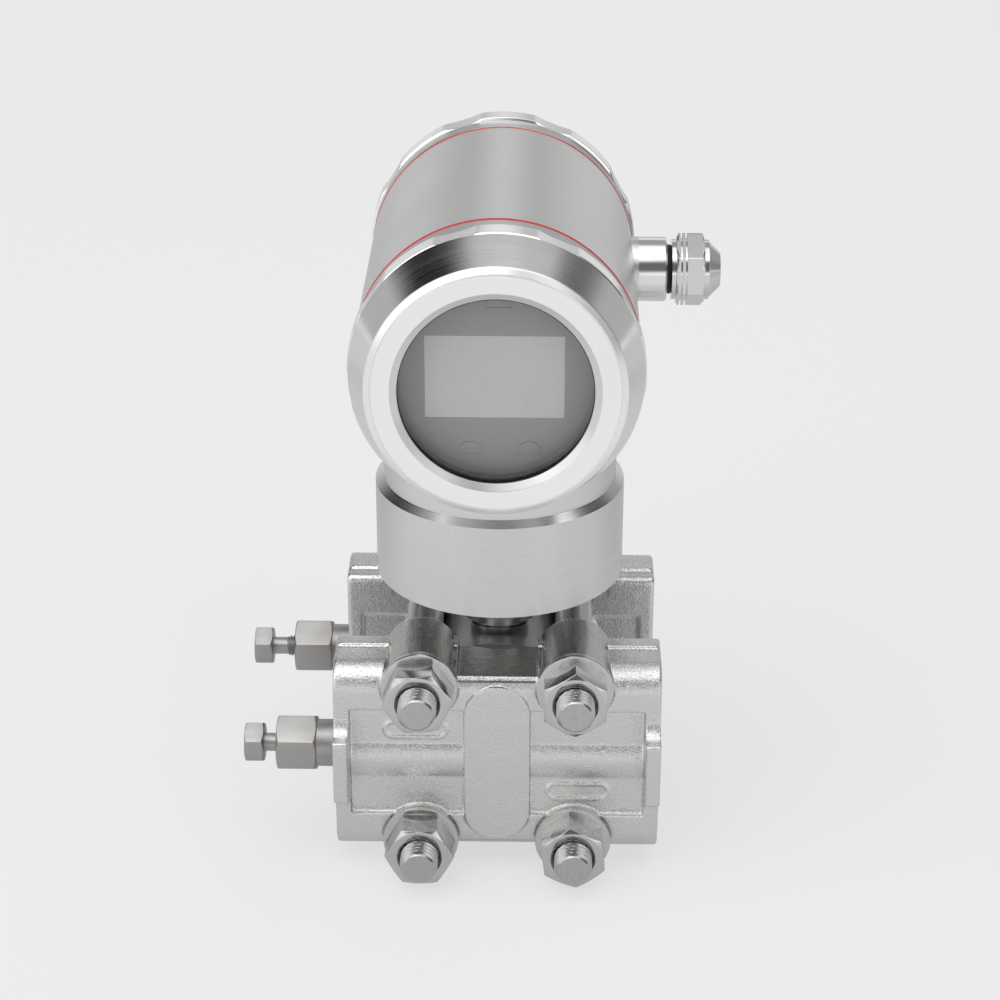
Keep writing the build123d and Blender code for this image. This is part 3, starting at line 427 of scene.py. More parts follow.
# %% The object's finishes
SENSOR_AXIS = (NECK_X, 0, 0)
FINISH = {
    "housing": blasted_steel("housing_blasted", grey(0.725, 0.004), 0.33),
    "collar": turned_steel("collar_turned", "Z", SENSOR_AXIS, grey(0.68, 0.003), 0.25),
    "cap": cap_steel("cap_turned", grey(0.94, 0.002), 0.17),
    "cast": cast_steel("cast_flange"),
    "capsule": turned_steel("capsule_turned", "Y", SENSOR_AXIS, grey(0.50, 0.02), 0.30),
    "neck": turned_steel("neck_turned", "Z", SENSOR_AXIS, grey(0.55, 0.01), 0.26),
    "bolt": drawn_steel("bolt_bright", grey(0.62, 0.02), 0.24, ALONG_Y),
    "nut": drawn_steel("nut_bright", grey(0.60, 0.012), 0.14, COARSE_ALONG_Y, 0.003 * MM),
    "thread": plain_finish("bolt_thread", grey(0.50, 0.015), 0.24, metallic=1.0, spread=0.06),
    "washer": drawn_steel("washer_tumbled", grey(0.62, 0.012), 0.24, ALL_WAYS),
    "vent": drawn_steel("vent_bar", grey(0.45, 0.022), 0.42),
    "ball": plain_finish("ball_polished", grey(0.75), 0.08, metallic=1.0, spread=0.02),
    "gland": turned_steel("gland_polished", "X", (0, GLAND_Y, GLAND_Z), grey(0.70, 0.006), 0.10),
    "screw": drawn_steel("screw_dark", grey(0.42, 0.01), 0.32),
    "red_seal": plain_finish("silicone_red", (0.62, 0.05, 0.035, 1), 0.45),
    "black_seal": plain_finish("rubber_black", (0.012, 0.012, 0.012, 1), 0.5),
    "gasket": plain_finish("gasket_white", (0.8, 0.8, 0.77, 1), 0.5),
    "window": window_finish(),
    "face": plain_finish("display_film", (0.47, 0.47, 0.47, 1), 0.45, spread=0.03),
    "lcd": plain_finish("display_glass", (0.90, 0.91, 0.895, 1), 0.22, spread=0.02),
    "board": plain_finish("solder_mask", (0.02, 0.12, 0.05, 1), 0.4),
    "potting": plain_finish("potting_black", (0.02, 0.02, 0.022, 1), 0.5),
    "brass": plain_finish("terminal_brass", (0.62, 0.43, 0.17, 1), 0.3, metallic=1.0),
}
print("finishes:", len(FINISH))

# %% [markdown]
# Each node of the frame gets the finish of its part. Nodes that are replaced by a finer mesh
# later are listed too, so that nothing stays bare if a piece is taken out again.

# %% Finishes on the frame's own nodes
NODE_FINISH = {
    "housing": ["housing_body"],
    "collar": ["collar_ring"],
    "cap": ["display_cap", "rear_cap"],
    "cast": ["front_flange", "rear_flange"],
    "capsule": ["capsule_body", "front_diaphragm", "rear_diaphragm"],
    "neck": ["sensor_neck"],
    "bolt": ["flange_bolts", "flange_nuts"],
    "washer": ["nut_washers", "head_washers"],
    "vent": ["front_vent_body", "rear_vent_body", "front_vent_screw", "rear_vent_screw"],
    "ball": ["front_vent_ball", "rear_vent_ball"],
    "gland": ["gland_body", "gland_nut"],
    "screw": ["collar_grub_screw", "glass_retaining_ring"],
    "red_seal": ["front_o_ring", "rear_o_ring"],
    "black_seal": ["hub_o_ring", "window_gasket", "gland_o_ring", "gland_seal"],
    "gasket": ["front_flange_gasket", "rear_flange_gasket"],
    "window": ["window_glass"],
    "face": ["display_bezel", "display_screws"],
    "lcd": ["lcd_panel"],
    "board": ["display_board", "sensor_board"],
    "potting": ["electronics_module", "terminal_block"],
    "brass": ["terminal_screws"],
}


def paint(piece, finish):
    piece.data.materials.clear()
    piece.data.materials.append(FINISH[finish])


def paint_nodes():
    done = set()
    for finish, names in NODE_FINISH.items():
        for name in names:
            paint(nodes[name], finish)
            done.add(name)
    print("nodes without a finish:", sorted(set(nodes) - done))


paint_nodes()

# %% [markdown]
# The solids have razor edges, and no real edge is one. A helper copies a node's mesh, welds it,
# joins its flat facets and rounds each sharp edge by one to four tenths of a millimetre. Such a
# narrow round is what catches the light along a nut or a washer.

# %% Pieces made from the frame's meshes
WELD_DISTANCE = 0.001 * MM
FLAT_ANGLE = math.radians(0.6)
SHARP_ANGLE = math.radians(24)
ROUND_SEGMENTS = 2
ROUND_PROFILE = 0.6


def welded(node):
    """A node's mesh as an editable shape, with its doubled corners welded."""
    shape = bmesh.new()
    shape.from_mesh(nodes[node].data)
    bmesh.ops.remove_doubles(shape, verts=shape.verts, dist=WELD_DISTANCE)
    return shape


def finished_piece(name, shape_or_mesh, finish, body, stands_for=()):
    """An object in the scene with a finish, riding on a body and standing for some nodes."""
    mesh = shape_or_mesh
    if isinstance(shape_or_mesh, bmesh.types.BMesh):
        mesh = bpy.data.meshes.new(name)
        shape_or_mesh.to_mesh(mesh)
        shape_or_mesh.free()
    mesh.name = name
    if "custom_normal" in mesh.attributes:
        mesh.attributes.remove(mesh.attributes["custom_normal"])
    piece = in_scene(name, mesh)
    paint(piece, finish)
    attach(piece, body)
    if stands_for:
        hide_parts(*stands_for)
    print(name, "has", sum(len(face.vertices) - 2 for face in mesh.polygons), "triangles")


def round_edges(shape, width):
    """Joins flat facets, then rounds every edge sharper than SHARP_ANGLE."""
    bmesh.ops.dissolve_limit(shape, angle_limit=FLAT_ANGLE, verts=shape.verts, edges=shape.edges)
    sharp = [edge for edge in shape.edges if edge.calc_face_angle(0.0) > SHARP_ANGLE]
    bmesh.ops.bevel(shape, geom=sharp, offset=width, segments=ROUND_SEGMENTS, profile=ROUND_PROFILE,
                    affect="EDGES", clamp_overlap=False)
    for face in shape.faces:
        face.smooth = True
    for edge in shape.edges:
        edge.smooth = edge.calc_face_angle(0.0) < SHARP_ANGLE


def cut_away(shape, place, beyond):
    """Takes off what lies beyond a plane and closes the cut."""
    everything = shape.verts[:] + shape.edges[:] + shape.faces[:]
    bmesh.ops.bisect_plane(shape, geom=everything, plane_co=place, plane_no=beyond, clear_outer=True)
    rims = [edge for edge in shape.edges if edge.is_boundary]
    bmesh.ops.contextual_create(shape, geom=rims)


def eased(name, node, width, finish, body):
    """A piece that is a node with its edges rounded."""
    shape = welded(node)
    round_edges(shape, width)
    finished_piece(name, shape, finish, body, [node])


# %% [markdown]
# The process flanges are poured in a ceramic shell, so no edge of theirs is sharp and no face is
# quite flat. A bevel would round each edge alike. Instead the solid is rebuilt from small cubes,
# smoothed a little, and its skin is pushed in and out by noise, as wax and sand leave it. The
# noise is a small Geometry Nodes tree, so that its size and depth can be tried out.

# %% Cast flanges
FRONT_CUBE = 0.25 * MM
REAR_CUBE = 0.36 * MM
FRONT_TRIANGLES = 195000
REAR_TRIANGLES = 160000
SOFTENING_ROUNDS = 3
SKIN_LEVEL = 0.62
SKIN_WAVE = 1.6 * MM
SKIN_PUSH = 0.12 * MM
SKIN_INPUTS = {"Geometry": ["Casting"], "Float": ["Wave Size", "Depth"], "Material": ["Finish"]}


def geometry_tree(name, inputs, result):
    """An empty Geometry Nodes tree. The inputs are lists of names by the kind of their sockets."""
    tree = bpy.data.node_groups.new(name, "GeometryNodeTree")
    for kind, labels in inputs.items():
        for label in labels:
            tree.interface.new_socket(label, in_out="INPUT", socket_type="NodeSocket" + kind)
    tree.interface.new_socket(result, in_out="OUTPUT", socket_type="NodeSocketGeometry")
    return tree


def cast_skin_tree():
    tree = geometry_tree("cast_skin", SKIN_INPUTS, "Skinned")
    skin = NodeMaker(tree)
    given = skin.add("NodeGroupInput").outputs
    scale = skin.math("DIVIDE", 1.0, given["Wave Size"])
    place = skin.add("GeometryNodeInputPosition").outputs[0]
    noise = skin.add("ShaderNodeTexNoise", {"Vector": place, "Scale": scale, "Detail": 2.0}).outputs["Fac"]
    push = skin.math("MULTIPLY", skin.math("SUBTRACT", noise, SKIN_LEVEL), given["Depth"])
    outward = skin.add("GeometryNodeInputNormal").outputs[0]
    offset = skin.add("ShaderNodeVectorMath", {0: outward, "Scale": push}, operation="SCALE").outputs[0]
    moved = skin.add("GeometryNodeSetPosition", {"Geometry": given["Casting"], "Offset": offset}).outputs[0]
    real = skin.add("GeometryNodeRealizeInstances", {"Geometry": moved}).outputs[0]
    done = skin.add("GeometryNodeSetMaterial", {"Geometry": real, "Material": given["Finish"]}).outputs[0]
    skin.tree.links.new(done, skin.add("NodeGroupOutput").inputs[0])
    return tree


def set_inputs(modifier, values):
    """Sets a node tree's named inputs by their sockets' identifiers."""
    for item in modifier.node_group.interface.items_tree:
        if item.in_out == "INPUT" and item.name in values:
            modifier[item.identifier] = values[item.name]


def cast_flange(name, node, cube, most_triangles):
    """The solid of a node, rebuilt from cubes with a casting's skin and thinned to its triangles."""
    shape = welded(node)
    mesh = bpy.data.meshes.new(name + "_blank")
    shape.to_mesh(mesh)
    shape.free()
    blank = in_scene(name + "_blank", mesh)
    cubes = blank.modifiers.new("cubes", "REMESH")
    cubes.mode = "VOXEL"
    cubes.voxel_size = cube
    soften = blank.modifiers.new("soften", "SMOOTH")
    soften.factor = 0.5
    soften.iterations = SOFTENING_ROUNDS
    skin = blank.modifiers.new("skin", "NODES")
    skin.node_group = CAST_SKIN
    set_inputs(skin, {"Wave Size": SKIN_WAVE, "Depth": SKIN_PUSH, "Finish": FINISH["cast"]})
    graph = bpy.context.evaluated_depsgraph_get()
    count = 2 * len(blank.evaluated_get(graph).data.polygons)
    thin = blank.modifiers.new("thin", "DECIMATE")
    thin.ratio = min(1.0, most_triangles / count)
    graph = bpy.context.evaluated_depsgraph_get()
    casting = bpy.data.meshes.new_from_object(blank.evaluated_get(graph), depsgraph=graph)
    bpy.data.objects.remove(blank)
    casting.shade_smooth()
    finished_piece(name, casting, "cast", "sensor", [node])


CAST_SKIN = cast_skin_tree()
cast_flange("front_casting", "front_flange", FRONT_CUBE, FRONT_TRIANGLES)
cast_flange("rear_casting", "rear_flange", REAR_CUBE, REAR_TRIANGLES)

# %% [markdown]
# Nuts are cold formed and chamfered on their outer face, so each corner ends in a bright
# crescent. Washers are stamped: their rims roll over on the punch side, then they are tumbled.

# %% Nuts and washers
BRIGHT_EDGE = 0.14 * MM
TUMBLED_EDGE = 0.35 * MM
eased("bright_nuts", "flange_nuts", BRIGHT_EDGE, "nut", "sensor")
for washers in ("nut_washers", "head_washers"):
    eased("tumbled_" + washers, washers, TUMBLED_EDGE, "washer", "sensor")

# %% [markdown]
# A thread is one ridge wound round a rod. Geometry Nodes makes it from a flat grid: the rows run
# along the rod, the columns round it, and each point's radius follows a wave of the pitch that
# is shifted by the angle. The first and last rows close the ends. The rod is then set on every
# vertex of the object that carries the modifier, so four vertices give four bolts.

# %% A threaded rod with Geometry Nodes
RIDGE_FLANK = (0.12, 0.86)
ROD_INPUTS = {
    "Geometry": ["Places"],
    "Float": ["Length", "Crest Radius", "Root Radius", "Pitch", "Point Chamfer", "Plain Start"],
    "Vector": ["Direction"],
    "Int": ["Rows", "Columns"],
    "Material": ["Finish"],
}


def threaded_rod_tree():
    tree = geometry_tree("threaded_rod", ROD_INPUTS, "Rods")
    rod = NodeMaker(tree)
    given = rod.add("NodeGroupInput").outputs
    grid = rod.add("GeometryNodeMeshGrid", {"Size X": 1.0, "Size Y": 1.0, "Vertices X": given["Rows"],
                                            "Vertices Y": given["Columns"]}).outputs["Mesh"]
    flat = rod.add("ShaderNodeSeparateXYZ", {0: rod.add("GeometryNodeInputPosition").outputs[0]}).outputs
    last_row = rod.math("SUBTRACT", given["Rows"], 1.0)
    row = rod.math("MULTIPLY", rod.math("ADD", flat[0], 0.5), last_row)
    inner_rows = rod.math("SUBTRACT", given["Rows"], 3.0)
    share = rod.ramp(rod.math("SUBTRACT", row, 1.0), 0.0, inner_rows)
    along = rod.math("MULTIPLY", share, given["Length"])
    turn = rod.math("ADD", flat[1], 0.5)
    wave = rod.math("FRACT", rod.math("SUBTRACT", rod.math("DIVIDE", along, given["Pitch"]), turn))
    ridge = rod.math("ABSOLUTE", rod.math("SUBTRACT", rod.math("MULTIPLY", wave, 2.0), 1.0))
    ridge = rod.ramp(ridge, *RIDGE_FLANK)
    threaded = rod.ramp(ridge, 0.0, 1.0, given["Root Radius"], given["Crest Radius"])
    cut_in = rod.ramp(along, given["Plain Start"], rod.math("ADD", given["Plain Start"], given["Pitch"]))
    plain = rod.math("MULTIPLY", rod.math("SUBTRACT", threaded, given["Root Radius"]), cut_in)
    radius = rod.math("ADD", plain, given["Root Radius"])
    to_tip = rod.math("SUBTRACT", given["Length"], along)
    tip_radius = rod.math("SUBTRACT", given["Crest Radius"], given["Point Chamfer"])
    radius = rod.math("MINIMUM", radius, rod.math("ADD", tip_radius, to_tip))
    on_ends = rod.math("MULTIPLY", rod.math("GREATER_THAN", row, 0.5),
                       rod.math("LESS_THAN", row, rod.math("SUBTRACT", last_row, 0.5)))
    radius = rod.math("MULTIPLY", radius, on_ends)
    angle = rod.math("MULTIPLY", turn, 2 * math.pi)
    round_x = rod.math("MULTIPLY", radius, rod.math("COSINE", angle))
    round_y = rod.math("MULTIPLY", radius, rod.math("SINE", angle))
    wound = rod.add("ShaderNodeCombineXYZ", {0: round_x, 1: round_y, 2: along}).outputs[0]
    shaped = rod.add("GeometryNodeSetPosition", {"Geometry": grid, "Position": wound}).outputs[0]
    closed = rod.add("GeometryNodeMergeByDistance", {"Geometry": shaped, "Distance": 0.002 * MM}).outputs[0]
    outward = rod.add("GeometryNodeFlipFaces", {"Mesh": closed}).outputs[0]
    placed = rod.add("GeometryNodeInstanceOnPoints", {"Points": given["Places"], "Instance": outward,
                                                      "Rotation": given["Direction"]}).outputs[0]
    real = rod.add("GeometryNodeRealizeInstances", {"Geometry": placed}).outputs[0]
    done = rod.add("GeometryNodeSetMaterial", {"Geometry": real, "Material": given["Finish"]}).outputs[0]
    rod.tree.links.new(done, rod.add("NodeGroupOutput").inputs[0])
    return tree


def grown(name, places, tree, values):
    """The plain mesh that a node tree grows on some places, with its named inputs set."""
    mesh = bpy.data.meshes.new(name + "_places")
    mesh.from_pydata(places, [], [])
    carrier = in_scene(name + "_places", mesh)
    modifier = carrier.modifiers.new("grow", "NODES")
    modifier.node_group = tree
    set_inputs(modifier, values)
    graph = bpy.context.evaluated_depsgraph_get()
    result = bpy.data.meshes.new_from_object(carrier.evaluated_get(graph), depsgraph=graph)
    carrier.modifiers.remove(modifier)
    bpy.data.objects.remove(carrier)
    return result


def signed_volume(mesh):
    """Positive where the faces look outwards."""
    shape = bmesh.new()
    shape.from_mesh(mesh)
    volume = shape.calc_volume(signed=True)
    shape.free()
    return volume


THREADED_ROD = threaded_rod_tree()

# %% [markdown]
# The bolts come through the flanges from behind. Their heads and plain shanks are the frame's,
# with eased edges, and end inside the nuts. From there an M10 thread with its 1.5 mm pitch runs
# out to the chamfered point.

# %% Flange bolts with threaded ends
M10_PITCH = 1.5 * MM
M10_CREST = 4.98 * MM
M10_ROOT = 4.15 * MM
M10_CHAMFER = 0.95 * MM
THREAD_IN_NUT = 4.0 * MM
NUT_OUTER_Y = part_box("flange_nuts")[0].y
BOLT_TIP_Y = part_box("flange_bolts")[0].y
THREAD_START_Y = NUT_OUTER_Y + THREAD_IN_NUT
BOLT_PLACES = [(NECK_X + x, THREAD_START_Y, z) for x in (-BOLT_X, BOLT_X) for z in (-BOLT_Z, BOLT_Z)]


def cut_bolts():
    shape = welded("flange_bolts")
    cut_away(shape, (0, THREAD_START_Y, 0), (0, -1, 0))
    round_edges(shape, BRIGHT_EDGE)
    finished_piece("bolt_shanks", shape, "bolt", "sensor", ["flange_bolts"])


cut_bolts()
bolt_thread = {"Length": THREAD_START_Y - BOLT_TIP_Y, "Crest Radius": M10_CREST, "Root Radius": M10_ROOT,
               "Pitch": M10_PITCH, "Point Chamfer": M10_CHAMFER, "Plain Start": 0.0,
               "Direction": (math.radians(90), 0, 0), "Rows": 100, "Columns": 65, "Finish": FINISH["bolt"]}
threads = grown("bolt_threads", BOLT_PLACES, THREADED_ROD, bolt_thread)
print("bolt threads enclose", round(signed_volume(threads) * 1e9), "cubic millimetres")
finished_piece("bolt_threads", threads, "thread", "sensor")

# %% [markdown]
# A vent valve sits in the end of each flange. Its body is turned from hexagon bar, and a screw
# with its own small hexagon presses a ball on the seat. The rear screw is backed off, so that
# its thread shows beside the body, and past it a plain neck. Both come from the same tree as the
# bolts, with a plain start, between the head and the tip that are cut from the frame's screw.

# %% Vent valves
VENT_PITCH = 0.8 * MM
VENT_CREST = 2.95 * MM
VENT_NECK = 2.42 * MM
VENT_HEAD_LENGTH = 5.1 * MM
VENT_NECK_LENGTH = 4.1 * MM
VENT_TIP_LENGTH = 4.0 * MM
VENT_SCREW_EDGE = 0.12 * MM
VENT_BODY_EDGE = 0.22 * MM
HEAD_MARGIN = 0.01 * MM
STEM_OVERLAP = 0.2 * MM


def vent_screw_end(node, place, beyond):
    """The screw without what lies beyond a place along X."""
    shape = welded(node)
    cut_away(shape, (place, 0, 0), beyond)
    round_edges(shape, VENT_SCREW_EDGE)
    return shape


def vent_valve(side, y):
    node = side + "_vent_screw"
    low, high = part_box(node)
    head_end = low.x + VENT_HEAD_LENGTH
    tip_start = high.x - VENT_TIP_LENGTH
    head = vent_screw_end(node, head_end - HEAD_MARGIN, (1, 0, 0))
    tip = vent_screw_end(node, tip_start, (-1, 0, 0))
    stem = {"Length": tip_start - head_end + 2 * STEM_OVERLAP, "Crest Radius": VENT_CREST,
            "Root Radius": VENT_NECK, "Pitch": VENT_PITCH, "Point Chamfer": 0.0,
            "Plain Start": VENT_NECK_LENGTH, "Direction": (0, math.radians(90), 0),
            "Rows": 220, "Columns": 41, "Finish": FINISH["vent"]}
    threaded = grown(node + "_stem", [(head_end - STEM_OVERLAP, y, 0)], THREADED_ROD, stem)
    screw = bmesh.new()
    screw.from_mesh(threaded)
    for end in (head, tip):
        extra = bpy.data.meshes.new("screw_end")
        end.to_mesh(extra)
        end.free()
        screw.from_mesh(extra)
    finished_piece("threaded_" + node, screw, "vent", side + "_valve", [node])
    eased(side + "_vent_bar", side + "_vent_body", VENT_BODY_EDGE, "vent", "sensor")


vent_valve("front", -FLANGE_Y)
vent_valve("rear", FLANGE_Y)

# %% [markdown]
# Caps and gland are turned from bar on a lathe, and the script does the same: a closed outline
# of points along the axis and away from it is swept round in many columns. Each corner of the
# outline becomes a small arc with a narrow band on both sides, which keeps the shading of the
# wide faces flat. Where a cutter takes off more than the lathe, a rule lowers the points.

# %% A lathe for the turned pieces
CORNER_STEPS = 3
GUARD_BAND = 0.05 * MM
ON_AXIS = 0.02 * MM
LATHE_FRAME = {
    "X": (Vector((1, 0, 0)), Vector((0, 1, 0)), Vector((0, 0, 1))),
    "Y": (Vector((0, 1, 0)), Vector((1, 0, 0)), Vector((0, 0, 1))),
}


def rounded_outline(corners):
    """Points of a closed outline, from corners of (along, radius, rounding) in millimetres."""
    points = []
    for number, (along, radius, rounding) in enumerate(corners):
        here = Vector((along, radius)) * MM
        before = Vector(corners[number - 1][:2]) * MM - here
        after = Vector(corners[(number + 1) % len(corners)][:2]) * MM - here
        size = min(rounding * MM, 0.4 * before.length, 0.4 * after.length)
        start, end = here + before.normalized() * size, here + after.normalized() * size
        points.append(start + before.normalized() * min(GUARD_BAND, 0.05 * before.length))
        for step in range(CORNER_STEPS + 1):
            share = step / CORNER_STEPS
            points.append(start.lerp(here, share).lerp(here.lerp(end, share), share))
        points.append(end + after.normalized() * min(GUARD_BAND, 0.05 * after.length))
    return points


def swept_faces(shape, ring, following, columns):
    """The band of faces between two rings, one of which may be a single point on the axis."""
    for column in range(columns):
        beside = (column + 1) % columns
        here = [ring[column], ring[beside]] if len(ring) > 1 else [ring[0]]
        there = [following[beside], following[column]] if len(following) > 1 else [following[0]]
        if len(here) + len(there) > 2:
            shape.faces.new(here + there)


def lathe(corners, axis, centre, columns, lowered):
    """Sweeps an outline about an axis. The rule lowered(along, radius, angle) gives a radius."""
    forward, sideways, upward = LATHE_FRAME[axis]
    shape = bmesh.new()
    rings = []
    for along, radius in rounded_outline(corners):
        ring = []
        for column in range(columns if radius > ON_AXIS else 1):
            angle = 2 * math.pi * column / columns
            spoke = sideways * math.cos(angle) + upward * math.sin(angle)
            ring.append(shape.verts.new(centre + forward * along + spoke * lowered(along, radius, angle)))
        rings.append(ring)
    for number, ring in enumerate(rings):
        swept_faces(shape, ring, rings[(number + 1) % len(rings)], columns)
    bmesh.ops.remove_doubles(shape, verts=shape.verts, dist=WELD_DISTANCE / 2)
    bmesh.ops.recalc_face_normals(shape, faces=shape.faces)
    for face in shape.faces:
        face.smooth = True
    return shape


# %% [markdown]
# The caps have nine shallow hollows round the grip for the hand, each cut by one large circle.
# The display cap goes on into the wide cone that makes the dark band round the bright face, and
# ends in a small bevel and the lip that holds the window. The blank cap ends in a flat plate.
# The outlines are in millimetres along the axis, away from it and of rounding. They start a
# hair off the red seals, so that two faces never lie in one plane.

# %% Caps
CAP_COLUMNS = 540
GRIP_COUNT = 9
GRIP = 35.8
GRIP_RADIUS = GRIP * MM
GRIP_REACH = (43.85 * MM, 50.31 * MM)
GRIP_GAP = math.radians(17.0)
DISPLAY_GRIP_START = math.radians(86.0)
REAR_GRIP_START = math.radians(88.0)
CUTTER_RADIUS = 40.0 * MM
CUTTER_DISTANCE = (GRIP_RADIUS * math.cos(GRIP_GAP / 2)
                   + math.sqrt(CUTTER_RADIUS ** 2 - (GRIP_RADIUS * math.sin(GRIP_GAP / 2)) ** 2))
CAP_START = 38.31
CAP_BORE = 32.05
SKIRT = 35.0
GRIP_END = 50.0
FRONT_FACE = 62.3
WINDOW_SEAT = 61.1
WINDOW_LIP = 23.3
WINDOW_BORE = 27.45
PLATE_FACE = 52.7
PLATE_BACK = 49.7
CAP_SKIRT = [(CAP_START, CAP_BORE, 0.1), (CAP_START, 34.6, 0.08), (38.7, SKIRT, 0.2), (43.9, SKIRT, 0.05),
             (44.3, GRIP, 0.12), (GRIP_END, GRIP, 0.08)]
DISPLAY_CAP = CAP_SKIRT + [
    (50.3, 35.5, 0.08), (61.3, 31.2, 0.22), (FRONT_FACE, 29.8, 0.12), (FRONT_FACE, 29.7, 0.02),
    (62.1, 29.65, 0.05), (62.1, 29.5, 0.05), (FRONT_FACE, 29.45, 0.05), (FRONT_FACE, 25.0, 0.12),
    (61.2, WINDOW_LIP, 0.08), (WINDOW_SEAT, WINDOW_LIP, 0.03), (WINDOW_SEAT, WINDOW_BORE, 0.05),
    (GRIP_END, WINDOW_BORE, 0.05), (GRIP_END, CAP_BORE, 0.05)]
REAR_CAP = CAP_SKIRT + [
    (50.3, 34.9, 0.12), (52.4, 31.4, 0.1), (PLATE_FACE, 31.1, 0.1), (PLATE_FACE, 0.0, 0.0),
    (PLATE_BACK, 0.0, 0.0), (PLATE_BACK, CAP_BORE, 0.05)]


def milled_grip(start):
    """Lowers the grip's points to the circle of the nearest cut."""
    def lowered(along, radius, angle):
        if not GRIP_REACH[0] < abs(along) < GRIP_REACH[1]:
            return radius
        spacing = 2 * math.pi / GRIP_COUNT
        off = (angle - start) % spacing - spacing / 2
        across = CUTTER_DISTANCE * math.sin(off)
        if abs(across) > CUTTER_RADIUS:
            return radius
        return min(radius, CUTTER_DISTANCE * math.cos(off) - math.sqrt(CUTTER_RADIUS ** 2 - across ** 2))
    return lowered


forwards = [(-along, radius, rounding) for along, radius, rounding in DISPLAY_CAP]
display_cap = lathe(forwards, "Y", HOUSING_CENTRE, CAP_COLUMNS, milled_grip(DISPLAY_GRIP_START))
finished_piece("turned_display_cap", display_cap, "cap", "front_cap", ["display_cap"])
rear_cap = lathe(REAR_CAP, "Y", HOUSING_CENTRE, CAP_COLUMNS, milled_grip(REAR_GRIP_START))
finished_piece("turned_rear_cap", rear_cap, "cap", "back_cap", ["rear_cap"])

# %% [markdown]
# The gland's dome nut is hexagon bar on the same lathe. The rule is the hexagon: it lowers each
# point to the bar's flat, so the chamfers at both ends leave curved edges on the flats, and the
# two fine grooves run right round.

# %% Cable gland nut
GLAND_COLUMNS = 288
GLAND_AXIS = Vector((0, GLAND_Y, GLAND_Z))
ACROSS_FLATS = 17.0 * MM
NUT_TURN = math.radians(24.0)
NUT_BORE = 5.65
NUT_CORNER = 9.82
GROOVE_ROOT = 8.25
DOME = 7.9
DOME_START = 10.8
DOME_SHOULDER = 12.1
DOME_END = 15.1
CABLE_BORE = 3.65
GLAND_NUT = [
    (3.4, NUT_BORE, 0.05), (3.4, 8.6, 0.1), (4.0, NUT_CORNER, 0.1), (4.45, NUT_CORNER, 0.05),
    (4.45, GROOVE_ROOT, 0.04), (4.95, GROOVE_ROOT, 0.04), (4.95, NUT_CORNER, 0.05),
    (5.7, NUT_CORNER, 0.05), (5.7, GROOVE_ROOT, 0.04), (6.2, GROOVE_ROOT, 0.04),
    (6.2, NUT_CORNER, 0.05), (10.2, NUT_CORNER, 0.1), (DOME_START, 8.6, 0.1), (DOME_START, DOME, 0.05),
    (DOME_SHOULDER, DOME, 0.2), (DOME_SHOULDER, 7.5, 0.05), (14.7, 4.9, 0.15), (DOME_END, 4.5, 0.1),
    (DOME_END, CABLE_BORE, 0.1), (DOME_SHOULDER, CABLE_BORE, 0.05), (DOME_SHOULDER, 4.4, 0.05),
    (11.0, NUT_BORE, 0.05)]


def hexagon_bar(across_flats, turn):
    """Lowers points to the flats of a hexagon bar."""
    def lowered(along, radius, angle):
        off = (angle - turn) % (math.pi / 3) - math.pi / 6
        return min(radius, across_flats / 2 / math.cos(off))
    return lowered


dome_nut = lathe(GLAND_NUT, "X", GLAND_AXIS, GLAND_COLUMNS, hexagon_bar(ACROSS_FLATS, NUT_TURN))
finished_piece("gland_dome_nut", dome_nut, "gland", "dome_nut", ["gland_nut"])

# %% [markdown]
# Steel shows nothing but its surroundings, so the studio is half of the finish. The floor is a
# pale sheet that partly glows, so that it stays even. In mirrored light only, its glow is painted
# darker in places: a painted shadow round the object, and painted dark patches that draw the dark
# streaks low down on caps and collar.

# %% Studio floor
FLOOR_COLOUR = (0.87, 0.87, 0.87, 1)
FLOOR_SIZE = 6.0
FLOOR_GLOW = 0.72
# painted shade on the floor's glow, seen in mirrored light only: x and y from the neck, reach and soft edge
# in metres, and the share of light taken off
PAINTED_FLOOR_SHADE = [
    (0.0, 0.0, 0.15, 0.10, 0.30),
    (0.0, 0.25, 0.13, 0.11, 0.20),
    (-0.21, 0.25, 0.17, 0.09, 0.30),
    (0.22, 0.25, 0.18, 0.09, 0.30),
    (-0.85, 0.72, 0.80, 0.25, 0.36),
    (0.85, 0.72, 0.80, 0.25, 0.42),
]


def make_floor():
    mesh = bpy.data.meshes.new("studio_floor")
    half = FLOOR_SIZE / 2
    corners = [(x * half, y * half, FLOOR_Z) for x, y in ((-1, -1), (1, -1), (1, 1), (-1, 1))]
    mesh.from_pydata(corners, [], [(0, 1, 2, 3)])
    floor = in_scene("studio_floor", mesh)
    finish = Finish("studio_floor")
    rays = finish.add("ShaderNodeLightPath").outputs
    seen = finish.math("MAXIMUM", rays["Is Camera Ray"], rays["Is Glossy Ray"])
    seen = finish.math("MAXIMUM", seen, rays["Is Transmission Ray"])
    share = finish.math("MULTIPLY", seen, FLOOR_GLOW)
    light = 1.0
    for x, y, reach, edge, share_off in PAINTED_FLOOR_SHADE:
        away = finish.vector("LENGTH", finish.vector("SUBTRACT", finish.place, (NECK_X + x, y, FLOOR_Z)))
        # painted shade: the glow seen in mirrored light is darkened round each patch, and the first patch is
        # a painted shadow round the object
        shade = finish.ramp(away, reach - edge, reach + edge, share_off, 0.0, True)
        shade = finish.math("MULTIPLY", shade, rays["Is Glossy Ray"])
        light = finish.math("MULTIPLY", light, finish.math("SUBTRACT", 1.0, shade))
    matt = finish.add("ShaderNodeBsdfDiffuse", {"Color": FLOOR_COLOUR})
    glow = finish.add("ShaderNodeEmission", {"Color": FLOOR_COLOUR, "Strength": light})
    both = finish.add("ShaderNodeMixShader", {0: share, 1: matt.outputs[0], 2: glow.outputs[0]})
    output = finish.add("ShaderNodeOutputMaterial")
    finish.tree.links.new(both.outputs[0], output.inputs[0])
    mesh.materials.append(finish.material)


make_floor()

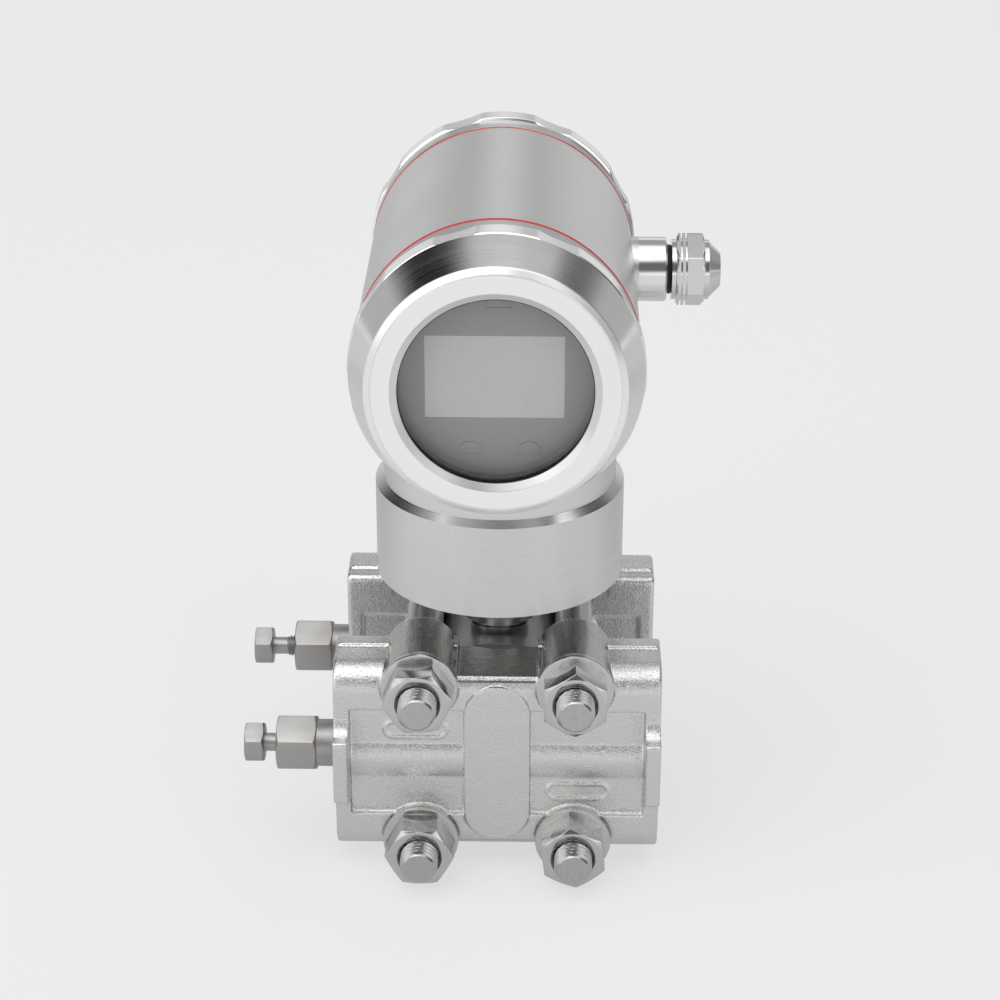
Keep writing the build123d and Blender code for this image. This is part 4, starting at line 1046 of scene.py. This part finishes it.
# %% [markdown]
# The world is a grey tent with soft round patches on it. The bright ones light the caps, the
# collar and the nuts, and the dark ones draw the streaks between them. Later patches lie over
# earlier ones. The camera itself sees a plain pale backdrop, as behind a product on a sheet.

# %% Studio tent
WALL_LEVEL = 0.42
BACKDROP_LEVEL = 0.84
# azimuth from +Y towards +X, elevation, half angle, soft edge (degrees) and the level inside
TENT_PATCHES = [
    (0, 0, 27, 15, 0.80),
    (0, 19, 13, 10, 0.50),
    (0, 25, 6, 3, 1.1),
    (8, 62, 22, 12, 0.40),
    (150, 76, 32, 8, 1.35),
    (180, 3, 55, 10, 1.25),
    (180, 32, 24, 8, 0.16),
    (-104, 22, 22, 8, 1.35),
    (103, 22, 24, 8, 0.14),
    (-46, 40, 16, 9, 0.0),
    (62, 37, 11, 8, 0.06),
    (76, 64, 9, 5, 1.5),
]


def make_tent():
    world = bpy.data.worlds.new("studio_tent")
    bpy.context.scene.world = world
    world.use_nodes = True
    tent = NodeMaker(world.node_tree)
    toward = tent.add("ShaderNodeTexCoord").outputs["Generated"]
    level = WALL_LEVEL
    for azimuth, elevation, half, edge, inside in TENT_PATCHES:
        turn, rise = math.radians(azimuth), math.radians(elevation)
        middle = (math.sin(turn) * math.cos(rise), math.cos(turn) * math.cos(rise), math.sin(rise))
        facing = tent.vector("DOT_PRODUCT", toward, middle)
        inner = math.cos(math.radians(max(half - edge, 0)))
        outer = math.cos(math.radians(half + edge))
        mask = tent.ramp(facing, outer, inner, smooth=True)
        level = tent.blend(mask, level, inside)
    seen = tent.add("ShaderNodeLightPath").outputs["Is Camera Ray"]
    level = tent.blend(seen, level, BACKDROP_LEVEL)
    background = tent.add("ShaderNodeBackground", {"Color": (1, 1, 1, 1), "Strength": level})
    output = tent.add("ShaderNodeOutputWorld")
    tent.tree.links.new(background.outputs[0], output.inputs[0])


make_tent()

# %% [markdown]
# One large lamp overhead gives the soft shadow under the object and a clear top light. It is
# weak, because the tent already lights everything at a plain level.

# %% Studio lamp
LAMP_PLACE = Vector((-0.5, -0.6, 1.3))
LAMP_AIM = Vector((NECK_X, 0, 0.06))
LAMP_SIZE = 1.5
LAMP_POWER = 6.0


def make_lamp():
    data = bpy.data.lights.new("soft_lamp", "AREA")
    data.shape = "DISK"
    data.size = LAMP_SIZE
    data.energy = LAMP_POWER
    lamp = in_scene("soft_lamp", data)
    lamp.location = LAMP_PLACE
    lamp.rotation_euler = (LAMP_AIM - LAMP_PLACE).to_track_quat("-Z", "Y").to_euler()


make_lamp()
